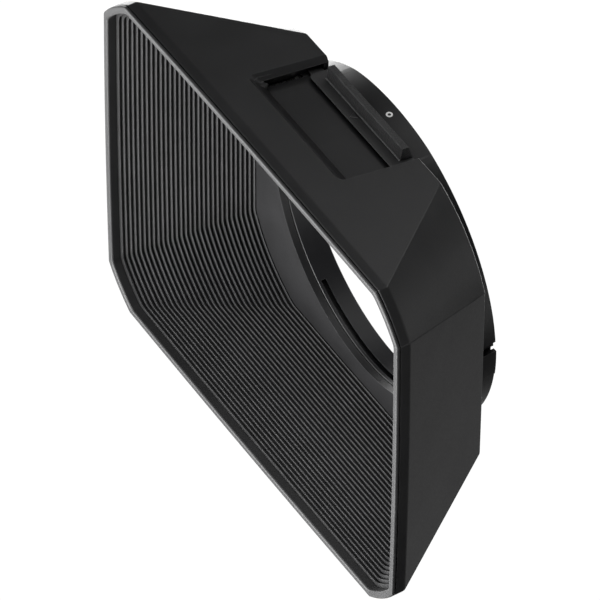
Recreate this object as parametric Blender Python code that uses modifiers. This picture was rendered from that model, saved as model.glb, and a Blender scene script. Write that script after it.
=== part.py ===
"""Rectangular bayonet lens hood for a large cine zoom lens.

The optical axis runs along Y, with the wide mouth at -Y and the bayonet at +Y.
The hood stands on the flat lower edge of its mouth, so +Z is up. The filter
window is on top and the lock button is on the +X side. All lengths are metres.
"""
import math

import bmesh
import bpy
from mathutils import Matrix, Vector

MM = 0.001

# Driving dimensions of the body. A section is (half width, half height, corner cut).
RIM = (80.4 * MM, 64.9 * MM, 12.3 * MM)
TAIL = (60.4 * MM, 58.3 * MM, 24.5 * MM)
DEPTH = 51.4 * MM
BAND_DEPTH = 4.4 * MM
TAIL_FROM_REAR = 8.0 * MM
SHELF_FROM_REAR = 11.0 * MM
AXIS_HEIGHT = RIM[1]
GAP = 0.3 * MM
SHELL_WALL = 1.1 * MM
CORNER_INSET = 2.0 - math.sqrt(2.0)
CORNER_R = 44.0 * MM
CORNER_STEPS = 4
STATIONS = 4

# Ribbed liner.
LIP = 0.9 * MM
LIP_FACE = 1.6 * MM
LINER_INNER = 2.4 * MM
RIB_START = 2.5 * MM
RIB_COUNT = 30
GROOVE_RUN = 0.3 * MM
GROOVE_SINK = 0.5 * MM
INNER_ROUND = 4.0 * MM
OUTER_ROUND = 0.5 * MM
FACE_SETBACK = 0.15 * MM
ROUNDED_TURN = 18.0

# Bayonet ring and collar.
BORE_R = 49.1 * MM
SLEEVE_R = 50.9 * MM
FLANGE_R = 53.0 * MM
FLANGE_T = 1.0 * MM
COLLAR_R = 57.0 * MM
COLLAR_FROM_REAR = 1.2 * MM
SEAT_DEPTH = 0.8 * MM
COLLAR_CHAMFER = 0.4 * MM
PANEL_TOP = 56.2 * MM
PANEL_R = 67.7 * MM
GROOVE_R = 50.3 * MM
GROOVE_OFFSET = 1.5 * MM
GROOVE_W = 1.7 * MM
GROOVE_START = -125.6
GROOVE_SPAN = 76.0
ENTRY_SPAN = 24.0
BAYONET_COUNT = 3

# Screws that hold the collar to the shell.
SCREW_CIRCLE_R = 54.6 * MM
SCREW_ANGLES = (32.0, 148.0, 181.0, 214.0, 270.0, 326.0)
SCREW_R = 0.8 * MM
SCREW_HEAD_R = 1.3 * MM
SCREW_HEAD_T = 1.2 * MM
SCREW_THREAD_IN_WALL = 1.2 * MM
CROSS_REACH = 0.6
CROSS_HALF_W = 0.16
CROSS_DEPTH = 0.45
HEAD_CLEARANCE = 0.45 * MM
HEAD_SINK = 0.15 * MM

# Window tray, measured along the top facet (s, forwards) and square to it (w, outwards).
TRAY_HALF_X = 28.0 * MM
TRAY_FLOOR_T = 1.7 * MM
TRAY_FRONT_T = 1.4 * MM
TRAY_FRONT_SLOPE = 0.9
POCKET_HALF_X = 24.5 * MM
POCKET_FRONT = 27.5 * MM
SLOPE_FOOT = 22.4 * MM
WALL_FOOT = -3.4 * MM
WALL_EDGE = -1.8 * MM
WALL_FLARE = 1.3 * MM
POCKET_CUT = (1.5 * MM, 2.2 * MM)
POCKET_ROUND = 2.6 * MM
POCKET_ROUND_STEPS = 4
FLOOR = -5.1 * MM
GUIDE_HALF_X = 26.0 * MM
GUIDE_STOP = 1.0 * MM
GUIDE_STEP = 0.1 * MM
WINDOW_HALF_X = 20.0 * MM
WINDOW_FRONT = 6.0 * MM
WINDOW_CUT = 8.8 * MM
BEHIND_TAIL = -4.0 * MM

# Sliding door and its grip.
DOOR_FRONT = 7.1 * MM
DOOR_REAR = -1.2 * MM
DOOR_RECESS_REAR = -1.65 * MM
DOOR_RECESS_OPEN = 10.0 * MM
DOOR_UNDERCUT = 0.9 * MM
DOOR_TOP = -3.6 * MM
DOOR_T = 1.2 * MM
DOOR_HALF_X = 23.4 * MM
TONGUE_HALF_X = 25.6 * MM
TONGUE_T = 0.6 * MM
TONGUE_STEP = 0.2 * MM
TONGUE_FRONT = 5.8 * MM
GRIP_HALF_X = 20.0 * MM
GRIP_FRONT = 3.2 * MM
GRIP_TOP = 0.9 * MM
GRIP_TOP_REAR = 1.0 * MM
GRIP_SCREW_X = 12.0 * MM
GRIP_SCREW_S = 1.5 * MM
GRIP_SCREW_R = 0.6 * MM
GRIP_SCREW_HEAD_R = 1.1 * MM
GRIP_SCREW_SINK = 0.7 * MM
GRIP_SCREW_HEAD_T = 0.35 * MM
GRIP_SCREW_TIP = -1.2 * MM
GRIP_EDGE = 0.3 * MM

# Detent leaf in the floor of each guide slot.
LEAF_X = 25.25 * MM
LEAF_HALF_W = 0.4 * MM
LEAF_T = 0.2 * MM
LEAF_FROM = 8.2 * MM
LEAF_TO = 19.2 * MM
LEAF_RECESS = 0.8 * MM
NOSE_LIFT = 0.2 * MM
NOSE_RUN = 1.2 * MM

# Lock button: a rocker in a pocket on the +X side. Angles are degrees up from +X.
SLACK = 0.3
PAD_TOP = 3.0
PAD_FOOT = -6.85
PAD_OUTER_R = 57.25 * MM
PAD_INNER_R = 54.6 * MM
PAD_SKIN_R = 55.9 * MM
NOTCH_TOP = 6.4
NOTCH_R = 55.4 * MM
ARM_END = -14.5
ARM_OUTER_R = 54.5 * MM
ARM_END_R = 53.2 * MM
ARM_INNER_R = 52.4 * MM
ARM_END_INNER_R = 51.7 * MM
TOOTH = (-13.0, -11.4)
TOOTH_TIP_R = 48.2 * MM
PIVOT_R = 54.4 * MM
PIVOT_ANGLE = -5.5
PIN_R = 0.6 * MM
PIN_HOLE_DEPTH = 1.2 * MM
ARM_NECK = 0.6
HUB_FOOT = 2.5
HUB_HEAD = 2.0
PAD_START = 2.8
LOCK_POCKET_FROM_REAR = 6.4 * MM
LOCK_POCKET_OUTER_R = 55.2 * MM
COVER = (-19.0, 8.0)
COVER_T = 0.8 * MM
COVER_SCREWS = (-17.4, 6.4)
COVER_SCREW_R = 0.5 * MM
COVER_SCREW_HEAD_R = 0.9 * MM
COVER_SCREW_HEAD_T = 0.5 * MM
COVER_SCREW_IN_WALL = 2.1 * MM
COVER_SCREW_CIRCLE_R = (SLEEVE_R + PAD_INNER_R) / 2
SPRING_R = 1.15 * MM
SPRING_WIRE_R = 0.16 * MM
SPRING_TURNS = 4
SPRING_ANGLE = 0.5

ROUND_STEPS = 96
SMALL_STEPS = 12
ARC_STEP = 3.0
SHARP_ANGLE = 28.0
OVERSHOOT = 2.0 * MM
WELD = 0.01 * MM

# Derived positions along Y, all measured from the middle of the hood.
FRONT = -DEPTH / 2
REAR = DEPTH / 2
BAND_REAR = FRONT + BAND_DEPTH
TAIL_Y = REAR - TAIL_FROM_REAR
SHELF = REAR - SHELF_FROM_REAR
SHELL_FRONT = FRONT + LIP + GAP
LINER_END = SHELF - GAP
COLLAR_REAR = REAR - COLLAR_FROM_REAR
SEAT = TAIL_Y - SEAT_DEPTH
COLLAR_FRONT = SEAT + GAP
LOCK_FRONT = REAR - LOCK_POCKET_FROM_REAR
FACET_SLOPE = math.atan2(RIM[1] - TAIL[1], TAIL_Y - BAND_REAR)

# Surface looks: base colour, roughness, metallic.
BLACK_PLASTIC = ((0.020, 0.020, 0.022), 0.55, 0.0)
INNER_PLASTIC = ((0.014, 0.014, 0.015), 0.70, 0.0)
GRIP_PLASTIC = ((0.028, 0.028, 0.030), 0.75, 0.0)
STEEL = ((0.55, 0.55, 0.57), 0.30, 1.0)
SPRING_STEEL = ((0.62, 0.61, 0.58), 0.28, 1.0)


def clear_scene():
    for item in list(bpy.data.objects):
        bpy.data.objects.remove(item, do_unlink=True)


def make_collections():
    hood = bpy.data.collections.new("lens_hood")
    cutters = bpy.data.collections.new("cutters")
    for group in (hood, cutters):
        bpy.context.scene.collection.children.link(group)
    return hood, cutters


def make_material(name, look):
    colour, roughness, metallic = look
    material = bpy.data.materials.new(name)
    material.use_nodes = True
    shader = material.node_tree.nodes["Principled BSDF"]
    shader.inputs["Base Color"].default_value = (*colour, 1.0)
    shader.inputs["Roughness"].default_value = roughness
    shader.inputs["Metallic"].default_value = metallic
    return material


def mesh_object(name, mesh, group):
    item = bpy.data.objects.new(name, mesh)
    group.objects.link(item)
    return item


def from_bmesh(name, work, group):
    bmesh.ops.recalc_face_normals(work, faces=work.faces)
    mesh = bpy.data.meshes.new(name)
    work.to_mesh(mesh)
    work.free()
    return mesh_object(name, mesh, group)


def inset(section, distance):
    half_width, half_height, cut = section
    return half_width - distance, half_height - distance, cut - CORNER_INSET * distance


def mix(first, second, amount):
    return tuple(a + (b - a) * amount for a, b in zip(first, second))


def body_section(y):
    """Outer section of the body where its facets taper."""
    return mix(RIM, TAIL, max(0.0, (y - BAND_REAR) / (TAIL_Y - BAND_REAR)))


def octagon(section):
    half_width, half_height, cut = section
    corner_x = half_width - cut
    corner_z = half_height - cut
    right = [(half_width, -corner_z), (half_width, corner_z), (corner_x, half_height)]
    left = [(-corner_x, half_height), (-half_width, corner_z), (-half_width, -corner_z)]
    return [(corner_x, -half_height)] + right + left + [(-corner_x, -half_height)]


def body_outline(section):
    """The octagon with its four corner sides bowed out to a large radius."""
    corners = [Vector(point) for point in octagon(section)]
    points = []
    for start, end in zip(corners[0::2], corners[1::2]):
        half_side = (end - start) / 2
        outwards = Vector((half_side.y, -half_side.x)).normalized()
        reach = math.asin(half_side.length / CORNER_R)
        centre = start + half_side - outwards * CORNER_R * math.cos(reach)
        for step in range(CORNER_STEPS + 1):
            turn = reach * (2.0 * step / CORNER_STEPS - 1.0)
            ahead = half_side.normalized() * math.sin(turn)
            points.append(tuple(centre + (outwards * math.cos(turn) + ahead) * CORNER_R))
    return points


def rounded(section, radius):
    """The outline with each sharp corner replaced by three points of its rounding."""
    points = [Vector(point) for point in body_outline(section)]
    result = []
    for index, corner in enumerate(points):
        before = (points[index - 1] - corner).normalized()
        after = (points[(index + 1) % len(points)] - corner).normalized()
        turn = math.pi - before.angle(after)
        if turn < math.radians(ROUNDED_TURN):
            result.append(corner)
            continue
        tangent = radius * math.tan(turn / 2)
        start = corner + before * tangent
        end = corner + after * tangent
        result += [start, (start + end) / 4 + corner / 2, end]
    return [tuple(point) for point in result]


def ring_vertices(work, y, points):
    return [work.verts.new((x, y, z)) for x, z in points]


def bridge(work, first, second):
    count = len(first)
    for index in range(count):
        after = (index + 1) % count
        work.faces.new((first[index], first[after], second[after], second[index]))


def loft(name, rings, group, closed):
    """Joins rings of equal point count. closed joins the last ring to the first."""
    work = bmesh.new()
    loops = [ring_vertices(work, y, points) for y, points in rings]
    for first, second in zip(loops, loops[1:]):
        bridge(work, first, second)
    if closed:
        bridge(work, loops[-1], loops[0])
    else:
        work.faces.new(loops[0])
        work.faces.new(loops[-1])
    return from_bmesh(name, work, group)


def outline_prism(name, outline, thickness, place, group):
    """A filled outline in its own XY plane, extruded both ways and put in place."""
    curve = bpy.data.curves.new(name, "CURVE")
    curve.dimensions = "2D"
    curve.fill_mode = "BOTH"
    curve.extrude = thickness / 2
    spline = curve.splines.new("POLY")
    spline.points.add(len(outline) - 1)
    for point, (across, up) in zip(spline.points, outline):
        point.co = (across, up, 0.0, 1.0)
    spline.use_cyclic_u = True
    mesh = mesh_from_curve(curve, group)
    mesh.transform(place)
    item = mesh_object(name, mesh, group)
    fix_normals(item)
    return item


def mesh_from_curve(curve, group):
    source = bpy.data.objects.new(curve.name, curve)
    group.objects.link(source)
    graph = bpy.context.evaluated_depsgraph_get()
    mesh = bpy.data.meshes.new_from_object(source.evaluated_get(graph))
    bpy.data.objects.remove(source, do_unlink=True)
    work = bmesh.new()
    work.from_mesh(mesh)
    bmesh.ops.remove_doubles(work, verts=work.verts, dist=WELD)
    work.to_mesh(mesh)
    work.free()
    return mesh


def facet_point(x, s, w):
    """A point in the frame of the top facet: s forwards from its rear edge, w outwards."""
    y = TAIL_Y - s * math.cos(FACET_SLOPE) + w * math.sin(FACET_SLOPE)
    z = TAIL[1] + s * math.sin(FACET_SLOPE) + w * math.cos(FACET_SLOPE)
    return Vector((x, y, z))


def facet_prism(name, half_x, outline, group, centre_x=0.0):
    """A prism whose (s, w) outline runs across the hood."""
    origin = facet_point(centre_x, 0.0, 0.0)
    along = facet_point(centre_x, 1.0, 0.0) - origin
    outwards = facet_point(centre_x, 0.0, 1.0) - origin
    place = Matrix((along, outwards, along.cross(outwards))).transposed().to_4x4()
    return outline_prism(name, outline, 2 * half_x, Matrix.Translation(origin) @ place, group)


def polar(radius, angle):
    turn = math.radians(angle)
    return radius * math.cos(turn), radius * math.sin(turn)


def arc(radius, start, end):
    steps = max(1, math.ceil(abs(end - start) / ARC_STEP))
    return [polar(radius, start + (end - start) * step / steps) for step in range(steps + 1)]


def sector_prism(name, inner_r, outer_r, start, end, y_from, y_to, group):
    outline = arc(outer_r, start, end) + arc(inner_r, end, start)
    return axial_prism(name, outline, y_from, y_to, group)


def axial_prism(name, outline, y_from, y_to, group):
    """A prism whose (x, z) outline runs along the optical axis."""
    turn = Matrix.Rotation(math.radians(90.0), 4, "X")
    place = Matrix.Translation((0.0, (y_from + y_to) / 2, 0.0)) @ turn
    return outline_prism(name, outline, y_to - y_from, place, group)


def cylinder(name, radius, start, end, group, steps=SMALL_STEPS):
    """A cylinder between two points."""
    span = Vector(end) - Vector(start)
    turn = span.to_track_quat("Z", "Y").to_matrix().to_4x4()
    place = Matrix.Translation((Vector(start) + Vector(end)) / 2) @ turn
    work = bmesh.new()
    bmesh.ops.create_cone(work, cap_ends=True, segments=steps, radius1=radius, radius2=radius,
                          depth=span.length, matrix=place)
    return from_bmesh(name, work, group)


def turned(name, profile, group, steps=ROUND_STEPS):
    """Turns a closed (radius, y) profile about the optical axis."""
    mesh = bpy.data.meshes.new(name)
    corners = [(radius, 0.0, -y) for radius, y in profile]
    edges = [(index, (index + 1) % len(corners)) for index in range(len(corners))]
    mesh.from_pydata(corners, edges, [])
    item = mesh_object(name, mesh, group)
    screw = item.modifiers.new("turn", "SCREW")
    screw.axis = "Z"
    screw.steps = steps
    screw.render_steps = steps
    screw.use_merge_vertices = True
    screw.merge_threshold = WELD
    apply_modifiers(item)
    item.data.transform(Matrix.Rotation(math.radians(90.0), 4, "X"))
    fix_normals(item)
    return item


def apply_modifiers(item):
    graph = bpy.context.evaluated_depsgraph_get()
    mesh = bpy.data.meshes.new_from_object(item.evaluated_get(graph))
    item.modifiers.clear()
    item.data = mesh


def fix_normals(item):
    work = bmesh.new()
    work.from_mesh(item.data)
    bmesh.ops.recalc_face_normals(work, faces=work.faces)
    work.to_mesh(item.data)
    work.free()


def combine(item, other, operation, cutters):
    """Applies one exact Boolean and files the tool body with the cutters."""
    for group in list(other.users_collection):
        group.objects.unlink(other)
    cutters.objects.link(other)
    other.hide_render = True
    other.display_type = "WIRE"
    step = item.modifiers.new(operation, "BOOLEAN")
    step.operation = operation
    step.solver = "EXACT"
    step.object = other
    bpy.context.view_layer.update()
    apply_modifiers(item)


def cut(item, other, cutters):
    combine(item, other, "DIFFERENCE", cutters)


def join(item, other, cutters):
    combine(item, other, "UNION", cutters)


def finish(item, look, pivot=None):
    """Lifts a part onto its stand, gives it its material and puts its origin on the pivot."""
    item.data.transform(Matrix.Translation((0.0, 0.0, AXIS_HEIGHT)))
    item.data.materials.clear()
    item.data.materials.append(make_material(item.name, look))
    if pivot is not None:
        item.data.transform(Matrix.Translation(-pivot))
        item.location = pivot
    item.data.shade_smooth()
    item.data.set_sharp_from_angle(angle=math.radians(SHARP_ANGLE))
    return item


def stations(end_y):
    """Positions along the taper, close enough to carry its twisting corners."""
    return [BAND_REAR + (end_y - BAND_REAR) * step / STATIONS for step in range(STATIONS + 1)]


def shell_blank(group):
    """The tapering body as a cup with a closed rear wall."""
    inside = [(y, body_outline(inset(body_section(y), SHELL_WALL))) for y in stations(SHELF)]
    outside = [(y, body_outline(body_section(y))) for y in stations(TAIL_Y)]
    rim = [
        (SHELL_FRONT, body_outline(inset(RIM, SHELL_WALL))),
        (SHELL_FRONT, body_outline(RIM)),
    ]
    return loft("outer_shell", inside[::-1] + rim + outside, group, closed=False)


def tray_outline(grow):
    """Side view of the tray block that hangs under the top facet."""
    under = FLOOR - TRAY_FLOOR_T - grow
    top = -SHELL_WALL + GAP if grow == 0.0 else OVERSHOOT
    rear = GAP if grow == 0.0 else BEHIND_TAIL
    front = POCKET_FRONT + TRAY_FRONT_T + grow
    front_top = front + TRAY_FRONT_SLOPE * top
    front_low = front + TRAY_FRONT_SLOPE * under
    return [(front_top, top), (front_low, under), (rear, under), (rear, top)]


def outer_shell(group, cutters):
    shell = shell_blank(group)
    join(shell, facet_prism("tray", TRAY_HALF_X, tray_outline(0.0), cutters), cutters)
    cut(shell, pocket_cutter(cutters), cutters)
    for side in (-1, 1):
        cut(shell, guide_slot(side, cutters), cutters)
    low = FLOOR - WINDOW_CUT
    high = FLOOR + OVERSHOOT
    rear = BEHIND_TAIL
    window = [(WINDOW_FRONT, high), (WINDOW_FRONT, low), (rear, low), (rear, high)]
    cut(shell, facet_prism("window", WINDOW_HALF_X, window, cutters), cutters)
    for side in (-1, 1):
        cut(shell, leaf_recess(side, cutters), cutters)
    bore_from = (0.0, SHELF - OVERSHOOT, 0.0)
    bore_to = (0.0, TAIL_Y + OVERSHOOT, 0.0)
    cut(shell, cylinder("bore", BORE_R, bore_from, bore_to, cutters, ROUND_STEPS), cutters)
    seat_from = (0.0, SEAT, 0.0)
    cut(shell, cylinder("seat", COLLAR_R + GAP, seat_from, bore_to, cutters, ROUND_STEPS), cutters)
    for angle in SCREW_ANGLES:
        x, z = polar(SCREW_CIRCLE_R, angle)
        start = (x, SEAT - SCREW_THREAD_IN_WALL - GAP, z)
        cut(shell, cylinder("thread", SCREW_R + GAP, start, (x, TAIL_Y, z), cutters), cutters)
    return finish(shell, BLACK_PLASTIC)


def pocket_plan(front, flare):
    """Plan of the window recess: one corner cut off, the other rounded, open at the rear."""
    left = -POCKET_HALF_X - flare
    cut_x, cut_s = POCKET_CUT
    plan = [(POCKET_HALF_X, BEHIND_TAIL)]
    for step in range(POCKET_ROUND_STEPS + 1):
        across, along = polar(POCKET_ROUND, 90.0 * step / POCKET_ROUND_STEPS)
        plan.append((POCKET_HALF_X - POCKET_ROUND + across, front - POCKET_ROUND + along))
    return plan + [(left + cut_x, front), (left, front - cut_s), (left, BEHIND_TAIL)]


def pocket_cutter(cutters):
    """The recess: a bevelled left wall over its slot, and a long slope at the front."""
    front_slope = (POCKET_FRONT - SLOPE_FOOT) / -WALL_FOOT
    side_slope = WALL_FLARE / -WALL_EDGE
    work = bmesh.new()
    loops = []
    for height in (OVERSHOOT, WALL_EDGE, WALL_FOOT, FLOOR):
        flare = WALL_FLARE + side_slope * max(height, WALL_EDGE)
        front = POCKET_FRONT + front_slope * max(height, WALL_FOOT)
        plan = pocket_plan(front, flare)
        loops.append([work.verts.new(facet_point(x, s, height)) for x, s in plan])
    for first, second in zip(loops, loops[1:]):
        bridge(work, first, second)
    work.faces.new(loops[0])
    work.faces.new(loops[-1])
    return from_bmesh("pocket", work, cutters)


def guide_slot(side, cutters):
    """Slot in the pocket's side wall that the door's tongue runs in."""
    low = FLOOR + GUIDE_STEP
    front = SLOPE_FOOT - GUIDE_STEP
    outline = [(front, WALL_FOOT), (front, low), (GUIDE_STOP, low), (GUIDE_STOP, WALL_FOOT)]
    inner_x = POCKET_HALF_X - GAP
    centre = side * (GUIDE_HALF_X + inner_x) / 2
    return facet_prism("guide", (GUIDE_HALF_X - inner_x) / 2, outline, cutters, centre)


def leaf_recess(side, cutters):
    low = FLOOR - LEAF_RECESS
    high = FLOOR + GUIDE_STEP + GAP
    start = LEAF_FROM - GAP
    end = LEAF_TO + GAP
    outline = [(start, high), (start, low), (end, low), (end, high)]
    return facet_prism("leaf_recess", LEAF_HALF_W + GAP, outline, cutters, side * LEAF_X)


def rib_rings():
    """Crests and valleys of the ribs, from the rear of the liner to its smooth mouth band."""
    start = FRONT + RIB_START
    pitch = (LINER_END - start) / RIB_COUNT
    mouth = inset(RIM, LINER_INNER)
    end = inset(body_section(LINER_END), LINER_INNER)
    rings = []
    for rib in range(RIB_COUNT, 0, -1):
        crest = mix(mouth, end, rib / RIB_COUNT)
        valley = inset(mix(mouth, end, (rib - 1) / RIB_COUNT), -GROOVE_SINK)
        rings.append((start + rib * pitch, rounded(crest, INNER_ROUND)))
        rings.append((start + rib * pitch - GROOVE_RUN, rounded(valley, INNER_ROUND)))
    return rings


def baffle_liner(group, cutters):
    fit = SHELL_WALL + GAP
    outer = [
        (FRONT, rounded(inset(RIM, FACE_SETBACK), OUTER_ROUND)),
        (FRONT + LIP, rounded(RIM, OUTER_ROUND)),
        (FRONT + LIP, rounded(inset(RIM, fit), OUTER_ROUND)),
    ]
    for y in stations(LINER_END):
        outer.append((y, rounded(inset(body_section(y), fit), OUTER_ROUND)))
    mouth = rounded(inset(RIM, LINER_INNER), INNER_ROUND)
    face = rounded(inset(RIM, LIP_FACE), INNER_ROUND)
    inner = rib_rings() + [(FRONT + LIP, mouth), (FRONT, face)]
    liner = loft("baffle_liner", outer + inner, group, closed=True)
    notch = facet_prism("tray_notch", TRAY_HALF_X + GAP, tray_outline(GAP), cutters)
    cut(liner, notch, cutters)
    return finish(liner, INNER_PLASTIC)


def collar_blank(group):
    relief_r = FLANGE_R + GAP
    relief_y = COLLAR_FRONT + FLANGE_T + GAP
    inner_r = SLEEVE_R + GAP
    profile = [
        (COLLAR_R, COLLAR_FRONT),
        (COLLAR_R, COLLAR_REAR - COLLAR_CHAMFER),
        (COLLAR_R - COLLAR_CHAMFER, COLLAR_REAR),
        (inner_r, COLLAR_REAR),
        (inner_r, relief_y),
        (relief_r, relief_y),
        (relief_r, COLLAR_FRONT),
    ]
    return turned("mount_collar", profile, group)


def panel_cutter(cutters):
    """Shaves the top of the collar to a flatter arc."""
    half = math.degrees(math.asin(TRAY_HALF_X / PANEL_R))
    centre_z = PANEL_TOP - PANEL_R
    curve = [(x, z + centre_z) for x, z in arc(PANEL_R, 90.0 + half, 90.0 - half)]
    top = COLLAR_R + OVERSHOOT
    outline = curve + [(TRAY_HALF_X, top), (-TRAY_HALF_X, top)]
    return axial_prism("panel", outline, COLLAR_FRONT - OVERSHOOT, REAR, cutters)


def door_recess_outline():
    """Side view of the notch in the collar that follows the sloping back of the grip."""
    run = (GRIP_TOP_REAR - DOOR_REAR) / (GRIP_TOP - DOOR_TOP)
    rear = DOOR_RECESS_REAR
    far = DOOR_RECESS_OPEN
    slope_top = (rear + run * (far - DOOR_TOP), far)
    return [(rear, FLOOR), (2 * far, FLOOR), (2 * far, far), slope_top, (rear, DOOR_TOP)]


def mount_collar(group, cutters):
    collar = collar_blank(group)
    for angle in SCREW_ANGLES:
        x, z = polar(SCREW_CIRCLE_R, angle)
        sizes = (SCREW_HEAD_R + GAP, SCREW_R + GAP)
        sink_y = COLLAR_REAR - SCREW_HEAD_T - HEAD_CLEARANCE
        ends = ((x, REAR, z), (x, sink_y, z), (x, COLLAR_FRONT - OVERSHOOT, z))
        cut(collar, headed_pin("screw_hole", *sizes, *ends, cutters, cutters), cutters)
    cut(collar, panel_cutter(cutters), cutters)
    recess = door_recess_outline()
    cut(collar, facet_prism("door_recess", POCKET_HALF_X, recess, cutters), cutters)
    cut_lock_pocket(collar, cutters)
    return finish(collar, BLACK_PLASTIC)


def cut_lock_pocket(collar, cutters):
    low_r = SLEEVE_R - GAP
    high_r = COLLAR_R + OVERSHOOT
    pad = (low_r, high_r, PAD_FOOT - SLACK, PAD_TOP + SLACK, LOCK_FRONT, REAR)
    cut(collar, sector_prism("pad_bay", *pad, cutters), cutters)
    arm = (low_r, LOCK_POCKET_OUTER_R, ARM_END - 2 * SLACK, PAD_FOOT + SLACK, LOCK_FRONT, REAR)
    cut(collar, sector_prism("arm_bay", *arm, cutters), cutters)
    notch = (NOTCH_R, high_r, PAD_TOP - SLACK, NOTCH_TOP, LOCK_FRONT, REAR)
    cut(collar, sector_prism("notch", *notch, cutters), cutters)
    seat_y = COLLAR_REAR - COVER_T - HEAD_CLEARANCE
    seat = (low_r, PAD_INNER_R, COVER[0] - SLACK, COVER[1] + SLACK, seat_y, REAR)
    cut(collar, sector_prism("cover_seat", *seat, cutters), cutters)
    for angle in COVER_SCREWS:
        x, z = polar(COVER_SCREW_CIRCLE_R, angle)
        hole = ((x, seat_y - COVER_SCREW_IN_WALL - GAP, z), (x, REAR, z))
        cut(collar, cylinder("cover_thread", COVER_SCREW_R + GAP, *hole, cutters), cutters)
    x, z = polar(PIVOT_R, PIVOT_ANGLE)
    hole = ((x, LOCK_FRONT - PIN_HOLE_DEPTH, z), (x, REAR, z))
    cut(collar, cylinder("pin_hole", PIN_R + GAP, *hole, cutters), cutters)


def bayonet_ring(group, cutters):
    profile = [
        (FLANGE_R, COLLAR_FRONT),
        (FLANGE_R, COLLAR_FRONT + FLANGE_T),
        (SLEEVE_R, COLLAR_FRONT + FLANGE_T),
        (SLEEVE_R, REAR),
        (BORE_R, REAR),
        (BORE_R, COLLAR_FRONT),
    ]
    ring = turned("bayonet_ring", profile, group)
    groove_y = SEAT + GROOVE_OFFSET
    inner_r = BORE_R - OVERSHOOT
    for index in range(BAYONET_COUNT):
        start = GROOVE_START + index * 360.0 / BAYONET_COUNT
        end = start + GROOVE_SPAN
        groove = (start, end, groove_y, groove_y + GROOVE_W)
        cut(ring, sector_prism("groove", inner_r, GROOVE_R, *groove, cutters), cutters)
        entry = (end - ENTRY_SPAN, end, groove_y + GROOVE_W / 2, REAR + OVERSHOOT)
        cut(ring, sector_prism("entry", inner_r, GROOVE_R, *entry, cutters), cutters)
    slot = (TOOTH[0] - 6 * SLACK, TOOTH[1] + 2 * SLACK, LOCK_FRONT, COLLAR_REAR - COVER_T)
    cut(ring, sector_prism("tooth_slot", inner_r, SLEEVE_R + OVERSHOOT, *slot, cutters), cutters)
    return finish(ring, BLACK_PLASTIC)


def headed_pin(name, head_r, shank_r, head_top, head_foot, tip, group, cutters):
    """A round head on a thinner shank: a screw, or the hole for one."""
    pin = cylinder(name, head_r, head_top, head_foot, group)
    overlap = (Vector(head_foot) + Vector(head_top)) / 2
    join(pin, cylinder("shank", shank_r, overlap, tip, cutters), cutters)
    return pin


def cross_recess(screw, centre, head_r, head_t, cutters):
    """Cuts a driver's cross into a head that faces the rear."""
    x, y, z = centre
    reach = CROSS_REACH * head_r
    half = CROSS_HALF_W * head_r
    for across, up in ((reach, half), (half, reach)):
        right, left = x + across, x - across
        bar = [(right, z - up), (right, z + up), (left, z + up), (left, z - up)]
        depth = CROSS_DEPTH * head_t
        cut(screw, axial_prism("cross_bar", bar, y - depth, y + OVERSHOOT, cutters), cutters)


def collar_screw(number, angle, group, cutters):
    x, z = polar(SCREW_CIRCLE_R, angle)
    top = (x, COLLAR_REAR - HEAD_SINK, z)
    foot = (x, COLLAR_REAR - HEAD_SINK - SCREW_HEAD_T, z)
    tip = (x, SEAT - SCREW_THREAD_IN_WALL, z)
    name = f"collar_screw_{number}"
    screw = headed_pin(name, SCREW_HEAD_R, SCREW_R, top, foot, tip, group, cutters)
    cross_recess(screw, top, SCREW_HEAD_R, SCREW_HEAD_T, cutters)
    return finish(screw, STEEL)


def window_door(group, cutters):
    under = DOOR_TOP - DOOR_T
    lip = [(DOOR_FRONT, DOOR_TOP - GAP), (DOOR_FRONT - DOOR_UNDERCUT, under)]
    plate = [(DOOR_FRONT, DOOR_TOP)] + lip + [(DOOR_REAR, under), (DOOR_REAR, DOOR_TOP)]
    door = facet_prism("window_door", DOOR_HALF_X, plate, group)
    low = under + TONGUE_STEP
    high = low + TONGUE_T
    rear = GUIDE_STOP + GAP
    tongue = [(TONGUE_FRONT, high), (TONGUE_FRONT, low), (rear, low), (rear, high)]
    join(door, facet_prism("tongue", TONGUE_HALF_X, tongue, cutters), cutters)
    for side in (-1, 1):
        across = side * GRIP_SCREW_X
        heights = (under - GAP, under + GRIP_SCREW_SINK, DOOR_TOP + GAP)
        ends = [facet_point(across, GRIP_SCREW_S, height) for height in heights]
        sizes = (GRIP_SCREW_HEAD_R + GAP, GRIP_SCREW_R + GAP)
        cut(door, headed_pin("grip_hole", *sizes, *ends, cutters, cutters), cutters)
    return finish(door, BLACK_PLASTIC, door_pivot())


def door_pivot():
    return facet_point(0.0, DOOR_FRONT / 2, DOOR_TOP) + Vector((0.0, 0.0, AXIS_HEIGHT))


def door_grip(group, cutters):
    foot = DOOR_TOP + GAP
    outline = [
        (GRIP_FRONT, foot),
        (GRIP_FRONT, GRIP_TOP - GRIP_EDGE),
        (GRIP_FRONT - GRIP_EDGE, GRIP_TOP),
        (GRIP_TOP_REAR, GRIP_TOP),
        (GRIP_TOP_REAR - GRIP_EDGE, GRIP_TOP - GRIP_EDGE),
        (DOOR_REAR, foot),
    ]
    grip = facet_prism("door_grip", GRIP_HALF_X, outline, group)
    for side in (-1, 1):
        x = side * GRIP_SCREW_X
        heights = (foot - GAP, GRIP_SCREW_TIP + GAP)
        bore = [facet_point(x, GRIP_SCREW_S, height) for height in heights]
        cut(grip, cylinder("grip_thread", GRIP_SCREW_R + GAP, *bore, cutters), cutters)
    return finish(grip, GRIP_PLASTIC, door_pivot())


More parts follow.
